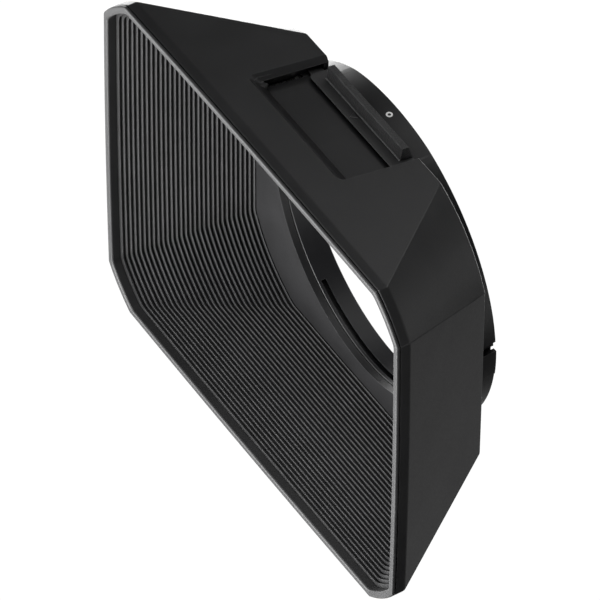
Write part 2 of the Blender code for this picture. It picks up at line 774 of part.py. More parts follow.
def grip_screw(side, group, cutters):
    head_foot = DOOR_TOP - DOOR_T + GRIP_SCREW_SINK - GAP
    heights = (head_foot - GRIP_SCREW_HEAD_T, head_foot, GRIP_SCREW_TIP)
    ends = [facet_point(side * GRIP_SCREW_X, GRIP_SCREW_S, height) for height in heights]
    name = "grip_screw_right" if side > 0 else "grip_screw_left"
    screw = headed_pin(name, GRIP_SCREW_HEAD_R, GRIP_SCREW_R, *ends, group, cutters)
    return finish(screw, STEEL, door_pivot())


def detent_spring(side, group):
    """A flat leaf with one raised nose just ahead of the closed door."""
    name = "detent_spring_right" if side > 0 else "detent_spring_left"
    low = FLOOR - LEAF_RECESS + GAP
    nose = FLOOR + NOSE_LIFT
    nose_s = LEAF_FROM + NOSE_RUN
    upper = [(LEAF_FROM, low), (nose_s, nose), (nose_s + NOSE_RUN, low), (LEAF_TO, low)]
    lower = [(s, w - LEAF_T) for s, w in reversed(upper)]
    return finish(facet_prism(name, LEAF_HALF_W, upper + lower, group, side * LEAF_X), SPRING_STEEL)


def lock_button(group, cutters):
    """Rocker with the press pad above its pivot and the latch tooth below it."""
    outline = arc(PAD_OUTER_R, PAD_TOP, PAD_FOOT)
    outline += [polar(ARM_OUTER_R + GAP, PAD_FOOT), polar(ARM_OUTER_R, PAD_FOOT - ARM_NECK)]
    outline += [polar(ARM_END_R, ARM_END), polar(ARM_END_INNER_R, ARM_END)]
    outline += [polar(ARM_END_INNER_R, TOOTH[0]), polar(TOOTH_TIP_R, TOOTH[0])]
    outline += [polar(TOOTH_TIP_R, TOOTH[1]), polar(ARM_END_INNER_R, TOOTH[1])]
    outline += [polar(ARM_INNER_R, PIVOT_ANGLE - HUB_FOOT), polar(ARM_INNER_R, PIVOT_ANGLE + HUB_HEAD)]
    outline += arc(PAD_INNER_R, PIVOT_ANGLE + PAD_START, PAD_TOP)
    y_from = LOCK_FRONT + GAP
    button = axial_prism("lock_button", outline, y_from, COLLAR_REAR - COVER_T - 2 * GAP, group)
    skin = (PAD_SKIN_R, PAD_OUTER_R, PAD_FOOT, PAD_TOP, y_from + GAP, COLLAR_REAR - GAP / 2)
    join(button, sector_prism("pad_skin", *skin, cutters), cutters)
    x, z = polar(PIVOT_R, PIVOT_ANGLE)
    hole = ((x, LOCK_FRONT - OVERSHOOT, z), (x, REAR, z))
    cut(button, cylinder("pivot_hole", PIN_R + GAP, *hole, cutters), cutters)
    return finish(button, GRIP_PLASTIC, Vector((x, LOCK_FRONT, z + AXIS_HEIGHT)))


def lock_pin(group):
    x, z = polar(PIVOT_R, PIVOT_ANGLE)
    start = (x, LOCK_FRONT - PIN_HOLE_DEPTH + GAP, z)
    return finish(cylinder("lock_pin", PIN_R, start, (x, COLLAR_REAR - 2 * COVER_T, z), group), STEEL)


def lock_spring(group):
    """Coil between the sleeve and the press pad, its axis along X."""
    start_x = SLEEVE_R + GAP + SPRING_WIRE_R
    end_x = PAD_INNER_R - GAP - SPRING_WIRE_R
    centre_y = (LOCK_FRONT + COLLAR_REAR) / 2 - GAP
    centre_z = math.sin(math.radians(SPRING_ANGLE)) * PAD_INNER_R
    curve = bpy.data.curves.new("coil", "CURVE")
    curve.dimensions = "3D"
    curve.bevel_depth = SPRING_WIRE_R
    curve.bevel_resolution = 2
    curve.use_fill_caps = True
    spline = curve.splines.new("POLY")
    count = SPRING_TURNS * SMALL_STEPS
    spline.points.add(count)
    for index in range(count + 1):
        turn = 2 * math.pi * index / SMALL_STEPS
        x = start_x + (end_x - start_x) * index / count
        y = centre_y + SPRING_R * math.cos(turn)
        z = centre_z + SPRING_R * math.sin(turn)
        spline.points[index].co = (x, y, z, 1.0)
    coil = mesh_object("lock_spring", mesh_from_curve(curve, group), group)
    fix_normals(coil)
    return finish(coil, SPRING_STEEL)


def lock_cover(group, cutters):
    y_from = COLLAR_REAR - COVER_T - GAP / 2
    inner_r = SLEEVE_R + GAP
    plate = (inner_r, PAD_INNER_R - GAP, *COVER, y_from, y_from + COVER_T)
    cover = sector_prism("lock_cover", *plate, group)
    for angle in COVER_SCREWS:
        x, z = polar(COVER_SCREW_CIRCLE_R, angle)
        hole = ((x, y_from - OVERSHOOT, z), (x, REAR, z))
        cut(cover, cylinder("cover_hole", COVER_SCREW_R + GAP, *hole, cutters), cutters)
    return finish(cover, BLACK_PLASTIC)


def lock_cover_screw(number, angle, group, cutters):
    cover_face = COLLAR_REAR - GAP / 2
    x, z = polar(COVER_SCREW_CIRCLE_R, angle)
    top = (x, cover_face + GAP + COVER_SCREW_HEAD_T, z)
    foot = (x, cover_face + GAP, z)
    tip = (x, cover_face - COVER_T - COVER_SCREW_IN_WALL, z)
    name = f"lock_cover_screw_{number}"
    screw = headed_pin(name, COVER_SCREW_HEAD_R, COVER_SCREW_R, top, foot, tip, group, cutters)
    cross_recess(screw, top, COVER_SCREW_HEAD_R, COVER_SCREW_HEAD_T, cutters)
    return finish(screw, STEEL)


def build():
    clear_scene()
    hood, cutters = make_collections()
    outer_shell(hood, cutters)
    baffle_liner(hood, cutters)
    mount_collar(hood, cutters)
    bayonet_ring(hood, cutters)
    for number, angle in enumerate(SCREW_ANGLES, 1):
        collar_screw(number, angle, hood, cutters)
    window_door(hood, cutters)
    door_grip(hood, cutters)
    for side in (-1, 1):
        grip_screw(side, hood, cutters)
        detent_spring(side, hood)
    lock_button(hood, cutters)
    lock_pin(hood)
    lock_spring(hood)
    lock_cover(hood, cutters)
    for number, angle in enumerate(COVER_SCREWS, 1):
        lock_cover_screw(number, angle, hood, cutters)


build()
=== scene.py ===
import math

import bmesh
import bpy
from mathutils import Matrix, Vector

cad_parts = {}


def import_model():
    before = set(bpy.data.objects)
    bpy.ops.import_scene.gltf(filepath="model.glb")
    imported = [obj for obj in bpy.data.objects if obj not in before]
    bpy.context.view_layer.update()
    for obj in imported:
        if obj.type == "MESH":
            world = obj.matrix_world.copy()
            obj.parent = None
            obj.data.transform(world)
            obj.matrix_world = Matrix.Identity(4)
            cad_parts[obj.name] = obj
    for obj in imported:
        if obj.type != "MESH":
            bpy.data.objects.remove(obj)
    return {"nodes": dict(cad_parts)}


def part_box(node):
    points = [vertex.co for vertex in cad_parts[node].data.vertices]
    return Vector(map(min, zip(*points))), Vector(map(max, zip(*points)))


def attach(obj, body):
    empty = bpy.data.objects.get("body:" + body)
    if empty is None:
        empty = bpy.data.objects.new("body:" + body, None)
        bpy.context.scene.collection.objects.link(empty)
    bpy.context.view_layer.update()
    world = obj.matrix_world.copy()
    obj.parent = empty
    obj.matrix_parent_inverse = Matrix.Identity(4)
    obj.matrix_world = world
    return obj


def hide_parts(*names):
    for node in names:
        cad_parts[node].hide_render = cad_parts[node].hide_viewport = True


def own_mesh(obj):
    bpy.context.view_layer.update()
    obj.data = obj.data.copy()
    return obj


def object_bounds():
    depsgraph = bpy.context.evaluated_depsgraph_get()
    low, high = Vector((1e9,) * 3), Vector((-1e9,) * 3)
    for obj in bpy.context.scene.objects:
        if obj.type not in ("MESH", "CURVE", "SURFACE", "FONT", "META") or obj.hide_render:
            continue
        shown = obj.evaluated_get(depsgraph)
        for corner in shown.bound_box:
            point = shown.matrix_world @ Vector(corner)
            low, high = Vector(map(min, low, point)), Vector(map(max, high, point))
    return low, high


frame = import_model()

# A rectangular bayonet lens hood with a sliding filter window and a lock button.
# Lengths are in metres. The front of the hood faces -Y, and its optical axis runs along Y.
MM = 0.001
CAD_LOW, CAD_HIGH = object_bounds()

# Sections of the body: half width, half height, corner cut.
RIM = (CAD_HIGH.x, CAD_HIGH.z / 2, 12.3 * MM)
TAIL = (60.4 * MM, 58.3 * MM, 24.5 * MM)
AXIS_HEIGHT = CAD_HIGH.z / 2
# How much a corner cut shrinks when all eight sides move in by one.
CORNER_INSET = 2.0 - math.sqrt(2.0)
CORNER_R = 44.0 * MM
GAP = 0.3 * MM
# Rise of a long side over its length at the rim, and the share of it left at the tail.
BOW = 0.0055
BOW_AT_TAIL = 0.3
LEAST_CORNER_TURN = 0.05

# Stations along the optical axis.
FRONT = CAD_LOW.y
REAR = CAD_HIGH.y
SHELL_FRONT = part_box("outer_shell")[0].y
TAIL_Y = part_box("outer_shell")[1].y
BAND_REAR = FRONT + 4.4 * MM
SHELF = REAR - 11.0 * MM
COLLAR_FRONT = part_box("mount_collar")[0].y
COLLAR_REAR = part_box("mount_collar")[1].y
SEAT = COLLAR_FRONT - GAP
LOCK_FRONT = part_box("lock_button")[0].y - GAP
FACET_SLOPE = math.atan2(RIM[1] - TAIL[1], TAIL_Y - BAND_REAR)

# Outer body.
SHELL_WALL = 1.1 * MM
SHELL_ROUND = 0.6 * MM
SHELL_STATIONS = 8
INNER_EDGE_R = 0.5 * MM
BAND_BLEND = 0.5 * MM
BAND_SHARES = (0.0, 0.25, 0.5, 0.75, 1.0)

# Ribbed liner.
LIP = 0.9 * MM
LIP_ROUND = 0.7 * MM
LIP_FACE = 1.6 * MM
LINER_INNER = 2.4 * MM
RIB_START = FRONT + 2.5 * MM
RIB_COUNT = 30
GROOVE_RUN = 0.3 * MM
GROOVE_SINK = 0.5 * MM
RIB_CREST = 0.08 * MM
INNER_ROUND = 4.0 * MM
RIDGE_ROUND = 1.0 * MM

# Rings.
BORE_R = 49.1 * MM
SLEEVE_R = 50.9 * MM
FLANGE_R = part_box("bayonet_ring")[1].x
FLANGE_T = 1.0 * MM
COLLAR_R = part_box("mount_collar")[1].x
COLLAR_CHAMFER = 0.4 * MM
RING_EDGE = 0.25 * MM
PANEL_TOP = 56.2 * MM
PANEL_R = 67.7 * MM
GROOVE_COUNT = 3
GROOVE_R = 50.3 * MM
GROOVE_START = -125.6
GROOVE_SPAN = 76.0
ENTRY_SPAN = 24.0
GROOVE_W = 1.7 * MM
GROOVE_OFFSET = 1.5 * MM
COLLAR_SCREWS = 6
SCREW_SINK = 1.2 * MM
SCREW_HEAD_R = 1.3 * MM

# Window recess, measured along the top facet (s, forwards) and square to it (w, outwards).
TRAY_HALF_X = 28.0 * MM
TRAY_FLOOR_T = 1.7 * MM
TRAY_FRONT_T = 1.4 * MM
TRAY_FRONT_SLOPE = 0.9
POCKET_HALF_X = 24.5 * MM
POCKET_FRONT = 27.5 * MM
POCKET_ROUND = 2.6 * MM
POCKET_CUT_X = 1.5 * MM
POCKET_CUT_S = 2.2 * MM
SLOPE_FOOT = 22.4 * MM
WALL_FOOT = -3.4 * MM
WALL_EDGE = -1.8 * MM
WALL_FLARE = 1.3 * MM
WALL_BEVEL = 0.25 * MM
WALL_UNDERCUT = 0.1 * MM
FLOOR = -5.1 * MM
GUIDE_HALF_X = 26.0 * MM
GUIDE_STOP = 1.0 * MM
GUIDE_EASE = 0.1 * MM
GUIDE_LIP = 0.35 * MM
WINDOW_HALF_X = 20.0 * MM
WINDOW_FRONT = 6.0 * MM
DOOR_FRONT = 7.1 * MM
DOOR_REAR = -1.2 * MM
DOOR_TOP = -3.6 * MM
DOOR_T = 1.2 * MM
DOOR_HALF_X = 23.4 * MM
DOOR_ROUND = 1.6 * MM
DOOR_EDGE = 0.12 * MM
DOOR_LIP = 0.35 * MM
DOOR_UNDERCUT = 1.2 * MM
TONGUE_HALF_X = 25.6 * MM
TONGUE_T = 0.6 * MM
TONGUE_STEP = 0.2 * MM
TONGUE_FRONT = 5.8 * MM
GRIP_HALF_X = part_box("door_grip")[1].x
GRIP_FRONT = 3.2 * MM
GRIP_TOP = 0.9 * MM
GRIP_TOP_REAR = 1.0 * MM
GRIP_ROUND = 0.45 * MM
GRIP_EDGE = 0.3 * MM
GRIP_SEAT = 0.02 * MM
LEAF_FROM = 8.2 * MM
LEAF_TO = 19.2 * MM
LEAF_RECESS = 0.8 * MM

# Lock button, in degrees up from +X.
SLACK = 0.3
PAD_TOP = 3.0
PAD_FOOT = -6.85
PAD_OUTER_R = 57.25 * MM
PAD_INNER_R = 54.6 * MM
PAD_SKIN_R = 55.9 * MM
NOTCH_TOP = 6.4
NOTCH_R = 55.4 * MM
ARM_NECK = 0.6
ARM_END = -14.5
ARM_OUTER_R = 54.5 * MM
ARM_END_R = 53.2 * MM
ARM_INNER_R = 52.4 * MM
ARM_END_INNER_R = 51.7 * MM
TOOTH = (-13.0, -11.4)
TOOTH_TIP_R = 48.2 * MM
PIVOT_R = 54.4 * MM
PIVOT_ANGLE = -5.5
HUB_FOOT = 2.5
HUB_HEAD = 2.0
HUB_TO_PAD = 2.8
PIN_R = 0.6 * MM
BUTTON_EDGE = 0.15 * MM
LOCK_POCKET_R = 55.2 * MM
COVER = (-19.0, 8.0)
COVER_T = 0.8 * MM

OVERSHOOT = 2.0 * MM
WELD = 0.005 * MM
SHARP_ANGLE = 40.0
SMALL_EDGE = 0.08 * MM
ROUND_STEPS = 240
CORNER_STEPS = 8
DOOR_CORNER_STEPS = 6
ARC_STEP = 1.0

CUTTERS = bpy.data.collections.new("cutters")
bpy.context.scene.collection.children.link(CUTTERS)


# ---------------------------------------------------------------- mesh helpers

def mesh_object(name, mesh):
    item = bpy.data.objects.new(name, mesh)
    bpy.context.scene.collection.objects.link(item)
    return item


def from_bmesh(name, work):
    bmesh.ops.recalc_face_normals(work, faces=work.faces)
    mesh = bpy.data.meshes.new(name)
    work.to_mesh(mesh)
    work.free()
    return mesh_object(name, mesh)


def mesh_of(item):
    """A new mesh of an item with its modifiers applied."""
    graph = bpy.context.evaluated_depsgraph_get()
    return bpy.data.meshes.new_from_object(item.evaluated_get(graph))


def apply_modifiers(item):
    mesh = mesh_of(item)
    item.modifiers.clear()
    item.data = mesh


def combine(item, other, operation):
    """Applies a Boolean of an item with another, which is used up."""
    bpy.context.view_layer.update()
    step = item.modifiers.new(operation, "BOOLEAN")
    step.operation = operation
    step.solver = "EXACT"
    step.object = other
    bpy.context.view_layer.update()
    apply_modifiers(item)
    bpy.data.objects.remove(other, do_unlink=True)


def cut(item, other):
    combine(item, other, "DIFFERENCE")


def join(item, other):
    combine(item, other, "UNION")


def round_edges(item, width, steps=2, angle=30.0):
    """Bevels every edge sharper than angle and applies the result."""
    bevel = item.modifiers.new("edges", "BEVEL")
    bevel.width = width
    bevel.segments = steps
    bevel.limit_method = "ANGLE"
    bevel.angle_limit = math.radians(angle)
    bevel.use_clamp_overlap = True
    bevel.harden_normals = False
    apply_modifiers(item)


def mesh_from_curve(curve):
    """A closed mesh of a curve, with its caps welded on."""
    source = bpy.data.objects.new(curve.name, curve)
    bpy.context.scene.collection.objects.link(source)
    mesh = mesh_of(source)
    bpy.data.objects.remove(source, do_unlink=True)
    work = bmesh.new()
    work.from_mesh(mesh)
    bmesh.ops.remove_doubles(work, verts=work.verts, dist=WELD)
    bmesh.ops.recalc_face_normals(work, faces=work.faces)
    work.to_mesh(mesh)
    work.free()
    return mesh


def outline_prism(name, outline, thickness, place):
    """A flat outline given thickness about its own plane, then put in place by a matrix."""
    curve = bpy.data.curves.new(name, "CURVE")
    curve.dimensions = "2D"
    curve.fill_mode = "BOTH"
    curve.extrude = thickness / 2
    spline = curve.splines.new("POLY")
    spline.points.add(len(outline) - 1)
    for point, (across, up) in zip(spline.points, outline):
        point.co = (across, up, 0.0, 1.0)
    spline.use_cyclic_u = True
    mesh = mesh_from_curve(curve)
    mesh.transform(place)
    return mesh_object(name, mesh)


def facet_point(x, s, w):
    """A point in the frame of the top facet: s forwards from its rear edge, w outwards."""
    y = TAIL_Y - s * math.cos(FACET_SLOPE) + w * math.sin(FACET_SLOPE)
    z = TAIL[1] + s * math.sin(FACET_SLOPE) + w * math.cos(FACET_SLOPE)
    return Vector((x, y, z + AXIS_HEIGHT))


def facet_prism(name, half_x, outline, centre_x=0.0):
    """A prism whose (s, w) outline runs across the hood."""
    origin = facet_point(centre_x, 0.0, 0.0)
    along = facet_point(centre_x, 1.0, 0.0) - origin
    outwards = facet_point(centre_x, 0.0, 1.0) - origin
    place = Matrix((along, outwards, along.cross(outwards))).transposed().to_4x4()
    return outline_prism(name, outline, 2 * half_x, Matrix.Translation(origin) @ place)


def polar(radius, angle):
    turn = math.radians(angle)
    return radius * math.cos(turn), radius * math.sin(turn)


def arc(radius, start, end):
    """Points (x, z) of an arc between two angles, about ARC_STEP degrees apart."""
    steps = max(1, math.ceil(abs(end - start) / ARC_STEP))
    return [polar(radius, start + (end - start) * step / steps) for step in range(steps + 1)]


def axial_prism(name, outline, y_from, y_to):
    """A prism whose (x, z) outline runs along the optical axis."""
    turn = Matrix.Rotation(math.radians(90.0), 4, "X")
    place = Matrix.Translation((0.0, (y_from + y_to) / 2, AXIS_HEIGHT)) @ turn
    return outline_prism(name, outline, y_to - y_from, place)


def sector_prism(name, inner_r, outer_r, start, end, y_from, y_to):
    """A piece of a ring about the optical axis, between two angles."""
    outline = arc(outer_r, start, end) + arc(inner_r, end, start)
    return axial_prism(name, outline, y_from, y_to)


def cylinder(name, radius, start, end, steps=24):
    """A cylinder between two points."""
    span = Vector(end) - Vector(start)
    turn = span.to_track_quat("Z", "Y").to_matrix().to_4x4()
    place = Matrix.Translation((Vector(start) + Vector(end)) / 2) @ turn
    work = bmesh.new()
    bmesh.ops.create_cone(work, cap_ends=True, segments=steps, radius1=radius, radius2=radius,
                          depth=span.length, matrix=place)
    return from_bmesh(name, work)


def axis_point(y, x=0.0, z=0.0):
    return (x, y, z + AXIS_HEIGHT)


def turned(name, profile, steps=ROUND_STEPS):
    """Turns a closed (radius, y) profile about the optical axis."""
    work = bmesh.new()
    rings = []
    for step in range(steps):
        turn = 2 * math.pi * step / steps
        across, up = math.cos(turn), math.sin(turn)
        rings.append([work.verts.new((r * across, y, r * up + AXIS_HEIGHT)) for r, y in profile])
    for first, second in zip(rings, rings[1:] + rings[:1]):
        bridge(work, first, second)
    return from_bmesh(name, work)


def bridge(work, first, second):
    """Joins two closed rings of vertices with a band of faces."""
    count = len(first)
    for index in range(count):
        after = (index + 1) % count
        work.faces.new((first[index], first[after], second[after], second[index]))


def loft(name, rings, closed):
    """Joins rings of equal point count, each a list of points in space."""
    work = bmesh.new()
    loops = [[work.verts.new(point) for point in ring] for ring in rings]
    for first, second in zip(loops, loops[1:]):
        bridge(work, first, second)
    if closed:
        bridge(work, loops[-1], loops[0])
    else:
        work.faces.new(loops[0])
        work.faces.new(loops[-1])
    return from_bmesh(name, work)


def smooth(item, angle=32.0):
    """Shades an item smooth, with its flat faces kept flat beside their rounded edges."""
    item.data.shade_smooth()
    item.data.set_sharp_from_angle(angle=math.radians(angle))
    weights = item.modifiers.new("flat faces", "WEIGHTED_NORMAL")
    weights.keep_sharp = True
    weights.weight = 100
    return item


def show(item, body, slot, material, *nodes):
    """Gives a finished piece its look and hands it to the frame."""
    item.data.materials.clear()
    item.data.materials.append(material)
    smooth(item)
    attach(item, body)
    if nodes:
        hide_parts(*nodes)
    return item


# ---------------------------------------------------------------- body sections

def inset(section, distance):
    """A section whose eight sides have all moved in by distance."""
    half_width, half_height, corner = section
    return half_width - distance, half_height - distance, corner - CORNER_INSET * distance


def mix(first, second, amount):
    return tuple(a + (b - a) * amount for a, b in zip(first, second))


def taper(y):
    """0 in the straight band at the front, rising to 1 at the tail."""
    return max(0.0, min(1.0, (y - BAND_REAR) / (TAIL_Y - BAND_REAR)))


def body_section(y):
    return mix(RIM, TAIL, taper(y))


def octagon(section):
    """The eight corners of a section as (x, z), starting at the lower right."""
    half_width, half_height, corner = section
    corner_x = half_width - corner
    corner_z = half_height - corner
    right = [(half_width, -corner_z), (half_width, corner_z), (corner_x, half_height)]
    left = [(-corner_x, half_height), (-half_width, corner_z), (-half_width, -corner_z)]
    return [(corner_x, -half_height)] + right + left + [(-corner_x, -half_height)]


def bowed_side(start, end, rise, trims, steps):
    """Points of a shallow arc from start to end that rises in its middle, trimmed at both ends."""
    half_side = (end - start) / 2
    outwards = Vector((half_side.y, -half_side.x)).normalized()
    radius = half_side.length ** 2 / (2 * rise) + rise / 2
    reach = math.asin(half_side.length / radius)
    centre = start + half_side - outwards * radius * math.cos(reach)
    first = trims[0] / radius - reach
    last = reach - trims[1] / radius
    points = []
    for step in range(steps + 1):
        turn = first + (last - first) * step / steps
        ahead = half_side.normalized() * math.sin(turn)
        points.append(centre + (outwards * math.cos(turn) + ahead) * radius)
    return points


def side_rises(corners, bow):
    """How far each side bows out: the corner sides on their own radius, the others by bow."""
    rises = []
    for index, start in enumerate(corners):
        length = (corners[(index + 1) % len(corners)] - start).length
        if index % 2 == 0:
            rises.append(CORNER_R - math.sqrt(CORNER_R ** 2 - (length / 2) ** 2))
        else:
            rises.append(length * bow)
    return rises


def crowned_ring(y, section, radius, bow, arc_steps=5, side_steps=12):
    """The body's outline at y: eight bowed sides with rounded corners between them."""
    corners = [Vector(point) for point in octagon(section)]
    count = len(corners)
    rises = side_rises(corners, bow)
    lengths = [(corners[(index + 1) % count] - corners[index]).length for index in range(count)]
    leans = [2 * math.atan(2 * rise / length) for rise, length in zip(rises, lengths)]
    trims = []
    for index in range(count):
        turn = math.radians(45.0) - leans[index - 1] - leans[index]
        trims.append(radius * math.tan(max(turn, LEAST_CORNER_TURN) / 2))
    sides = []
    for index, start in enumerate(corners):
        after = (index + 1) % count
        ends = (trims[index], trims[after])
        sides.append(bowed_side(start, corners[after], rises[index], ends, side_steps))
    points = []
    for index, side in enumerate(sides):
        start, corner, end = sides[index - 1][-1], corners[index], side[0]
        for step in range(1, arc_steps):
            share = step / arc_steps
            rest = 1 - share
            points.append(start * rest ** 2 + corner * 2 * share * rest + end * share ** 2)
        points += side
    return [(point.x, y, point.y + AXIS_HEIGHT) for point in points]


def bow_at(y):
    return BOW * (1.0 + (BOW_AT_TAIL - 1.0) * taper(y))


def outer_ring(y, section, radius=RIDGE_ROUND):
    return crowned_ring(y, section, radius, bow_at(y))


def quarter(radius, steps=4):
    """A rounded corner as (run, drop) pairs, from (0, radius) to (radius, 0)."""
    turns = [math.radians(90.0) * step / steps for step in range(steps + 1)]
    return [(radius * (1 - math.cos(turn)), radius * (1 - math.sin(turn))) for turn in turns]


# ---------------------------------------------------------------- fixed pieces

def shell_rings():
    """Outlines of the outer body: forwards along its inner wall, then back along its outside."""
    shelf_section = inset(body_section(SHELF), SHELL_WALL)
    rings = [crowned_ring(SHELF, shelf_section, INNER_EDGE_R, bow_at(SHELF))]
    inner_front = inset(RIM, SHELL_WALL)
    rings.append(outer_ring(BAND_REAR, inner_front))
    rings.append(outer_ring(SHELL_FRONT, inner_front))
    for run, drop in quarter(SHELL_ROUND):
        rings.append(outer_ring(SHELL_FRONT + run, inset(RIM, drop)))
    after = body_section(BAND_REAR + BAND_BLEND)
    for share in BAND_SHARES:
        section = mix(RIM, mix(RIM, after, share), share)
        rings.append(outer_ring(BAND_REAR - BAND_BLEND + 2 * BAND_BLEND * share, section))
    start = BAND_REAR + BAND_BLEND
    for step in range(1, SHELL_STATIONS):
        y = start + (TAIL_Y - SHELL_ROUND - start) * step / SHELL_STATIONS
        rings.append(outer_ring(y, body_section(y)))
    for run, drop in reversed(quarter(SHELL_ROUND)):
        y = TAIL_Y - run
        rings.append(outer_ring(y, inset(body_section(y), drop)))
    return rings


def tray_outline(grow):
    """Side view of the tray under the recess or, grown by a gap, of the room for it in the liner."""
    is_tray = grow == 0.0
    under = FLOOR - TRAY_FLOOR_T - grow
    top = -SHELL_WALL + GAP if is_tray else OVERSHOOT
    rear = GAP if is_tray else -2 * OVERSHOOT
    front = POCKET_FRONT + TRAY_FRONT_T + grow
    front_top = front + TRAY_FRONT_SLOPE * top
    front_low = front + TRAY_FRONT_SLOPE * under
    return [(front_top, top), (front_low, under), (rear, under), (rear, top)]


def pocket_plan(front, flare):
    """Plan of the window recess: one corner cut off, the other rounded, open at the rear."""
    left = -POCKET_HALF_X - flare
    right = POCKET_HALF_X
    back = -2 * OVERSHOOT
    plan = [(right, back)]
    for step in range(CORNER_STEPS + 1):
        turn = math.radians(90.0) * step / CORNER_STEPS
        across = right - POCKET_ROUND + POCKET_ROUND * math.cos(turn)
        plan.append((across, front - POCKET_ROUND + POCKET_ROUND * math.sin(turn)))
    plan += [(left + POCKET_CUT_X, front), (left, front - POCKET_CUT_S), (left, back)]
    return plan


def pocket_cutter():
    """The recess: a bevelled left wall over its slot, and a long slope at the front."""
    front_slope = (POCKET_FRONT - SLOPE_FOOT) / -WALL_FOOT
    side_slope = WALL_FLARE / -WALL_EDGE
    edge = WALL_BEVEL
    levels = [
        (OVERSHOOT, WALL_FLARE + side_slope * OVERSHOOT + edge),
        (edge, WALL_FLARE + edge),
        (-edge, WALL_FLARE - edge * side_slope),
        (WALL_EDGE + edge, edge * side_slope),
        (WALL_EDGE, -WALL_UNDERCUT),
        (WALL_EDGE - edge, 0.0),
        (WALL_FOOT, 0.0),
        (FLOOR, 0.0),
    ]
    rings = []
    for height, flare in levels:
        front = POCKET_FRONT + front_slope * max(min(height, edge), WALL_FOOT)
        rings.append([facet_point(x, s, height) for x, s in pocket_plan(front, flare)])
    return loft("pocket", rings, closed=False)


def guide_slot(side):
    """The slot beside the recess that a tongue of the door runs in, taller on the left."""
    low = FLOOR + GUIDE_EASE
    front = SLOPE_FOOT - GUIDE_EASE
    high = WALL_EDGE - GUIDE_LIP if side < 0 else WALL_FOOT
    outline = [(front, high), (front, low), (GUIDE_STOP, low), (GUIDE_STOP, high)]
    inner_x = POCKET_HALF_X - GAP
    centre = side * (GUIDE_HALF_X + inner_x) / 2
    return facet_prism("guide", (GUIDE_HALF_X - inner_x) / 2, outline, centre)


def leaf_recess(side):
    """The bed of a leaf spring in the floor of a guide slot."""
    low_corner, high_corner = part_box("detent_spring_right")
    centre = (low_corner.x + high_corner.x) / 2
    half = (high_corner.x - low_corner.x) / 2 + GAP
    start = LEAF_FROM - GAP
    end = LEAF_TO + GAP
    low = FLOOR - LEAF_RECESS
    high = FLOOR + 2 * GAP
    outline = [(start, high), (start, low), (end, low), (end, high)]
    return facet_prism("leaf_recess", half, outline, side * centre)


def shell_skin():
    """The outer body with its window recess, the window, the guides and the collar's seat."""
    shell = loft("shell_skin", shell_rings(), closed=False)
    join(shell, facet_prism("tray", TRAY_HALF_X, tray_outline(0.0)))
    cut(shell, pocket_cutter())
    back = -2 * OVERSHOOT
    low = FLOOR - 4 * TRAY_FLOOR_T - OVERSHOOT
    high = FLOOR + OVERSHOOT
    window = [(WINDOW_FRONT, high), (WINDOW_FRONT, low), (back, low), (back, high)]
    cut(shell, facet_prism("window", WINDOW_HALF_X, window))
    for side in (-1, 1):
        cut(shell, guide_slot(side))
        cut(shell, leaf_recess(side))
    rear = axis_point(TAIL_Y + OVERSHOOT)
    cut(shell, cylinder("bore", BORE_R, axis_point(SHELF - OVERSHOOT), rear, ROUND_STEPS))
    cut(shell, cylinder("seat", COLLAR_R + GAP, axis_point(SEAT), rear, ROUND_STEPS))
    return show(shell, "hood", "hood_plastic", LOOKS["hood"], "outer_shell")


def liner_rings():
    """Outlines of the liner: back along its outside, then forwards over its ribs to the lip."""
    fit = SHELL_WALL + GAP
    end_y = SHELF - GAP
    rings = []
    for run, drop in quarter(LIP_ROUND, steps=6):
        rings.append(outer_ring(FRONT + run, inset(RIM, drop)))
    rings.append(outer_ring(FRONT + LIP, RIM))
    rings.append(outer_ring(FRONT + LIP, inset(RIM, fit)))
    rings.append(outer_ring(BAND_REAR, inset(RIM, fit)))
    rings.append(outer_ring(end_y, inset(body_section(end_y), fit)))
    pitch = (end_y - RIB_START) / RIB_COUNT
    mouth = inset(RIM, LINER_INNER)
    end = inset(body_section(end_y), LINER_INNER)

    def inner_ring(y, section):
        return crowned_ring(y, section, INNER_ROUND, bow_at(y))

    for rib in range(RIB_COUNT, 0, -1):
        valley = inset(mix(mouth, end, (rib - 1) / RIB_COUNT), -GROOVE_SINK)
        crest = mix(mouth, end, rib / RIB_COUNT)
        y = RIB_START + rib * pitch
        rings.append(inner_ring(y, crest))
        rings.append(inner_ring(y - RIB_CREST, crest))
        rings.append(inner_ring(y - RIB_CREST - GROOVE_RUN, valley))
    radius = LINER_INNER - LIP_FACE
    for run, drop in reversed(quarter(radius, steps=5)):
        rings.append(inner_ring(FRONT + run, inset(RIM, LINER_INNER - drop)))
    return rings


def liner_skin():
    """The ribbed liner, notched for the tray of the window recess."""
    liner = loft("liner_skin", liner_rings(), closed=True)
    cut(liner, facet_prism("tray_notch", TRAY_HALF_X + GAP, tray_outline(GAP)))
    return show(liner, "hood", "liner_plastic", LOOKS["liner"], "baffle_liner")


def panel_cutter():
    """Takes off the collar's top down to the flatter panel behind the window."""
    half = math.degrees(math.asin(TRAY_HALF_X / PANEL_R))
    centre_z = PANEL_TOP - PANEL_R
    curve = [(x, z + centre_z) for x, z in arc(PANEL_R, 90.0 + half, 90.0 - half)]
    top = COLLAR_R + OVERSHOOT
    outline = curve + [(TRAY_HALF_X, top), (-TRAY_HALF_X, top)]
    return axial_prism("panel", outline, COLLAR_FRONT - OVERSHOOT, REAR)


def door_recess_outline():
    """Side view of the notch in the collar that follows the sloping back of the grip."""
    run = (GRIP_TOP_REAR - DOOR_REAR) / (GRIP_TOP - DOOR_TOP)
    rear = DOOR_REAR - 1.5 * GAP
    far = 10.0 * MM
    slope_top = (rear + run * (far - DOOR_TOP), far)
    return [(rear, FLOOR), (2 * far, FLOOR), (2 * far, far), slope_top, (rear, DOOR_TOP)]


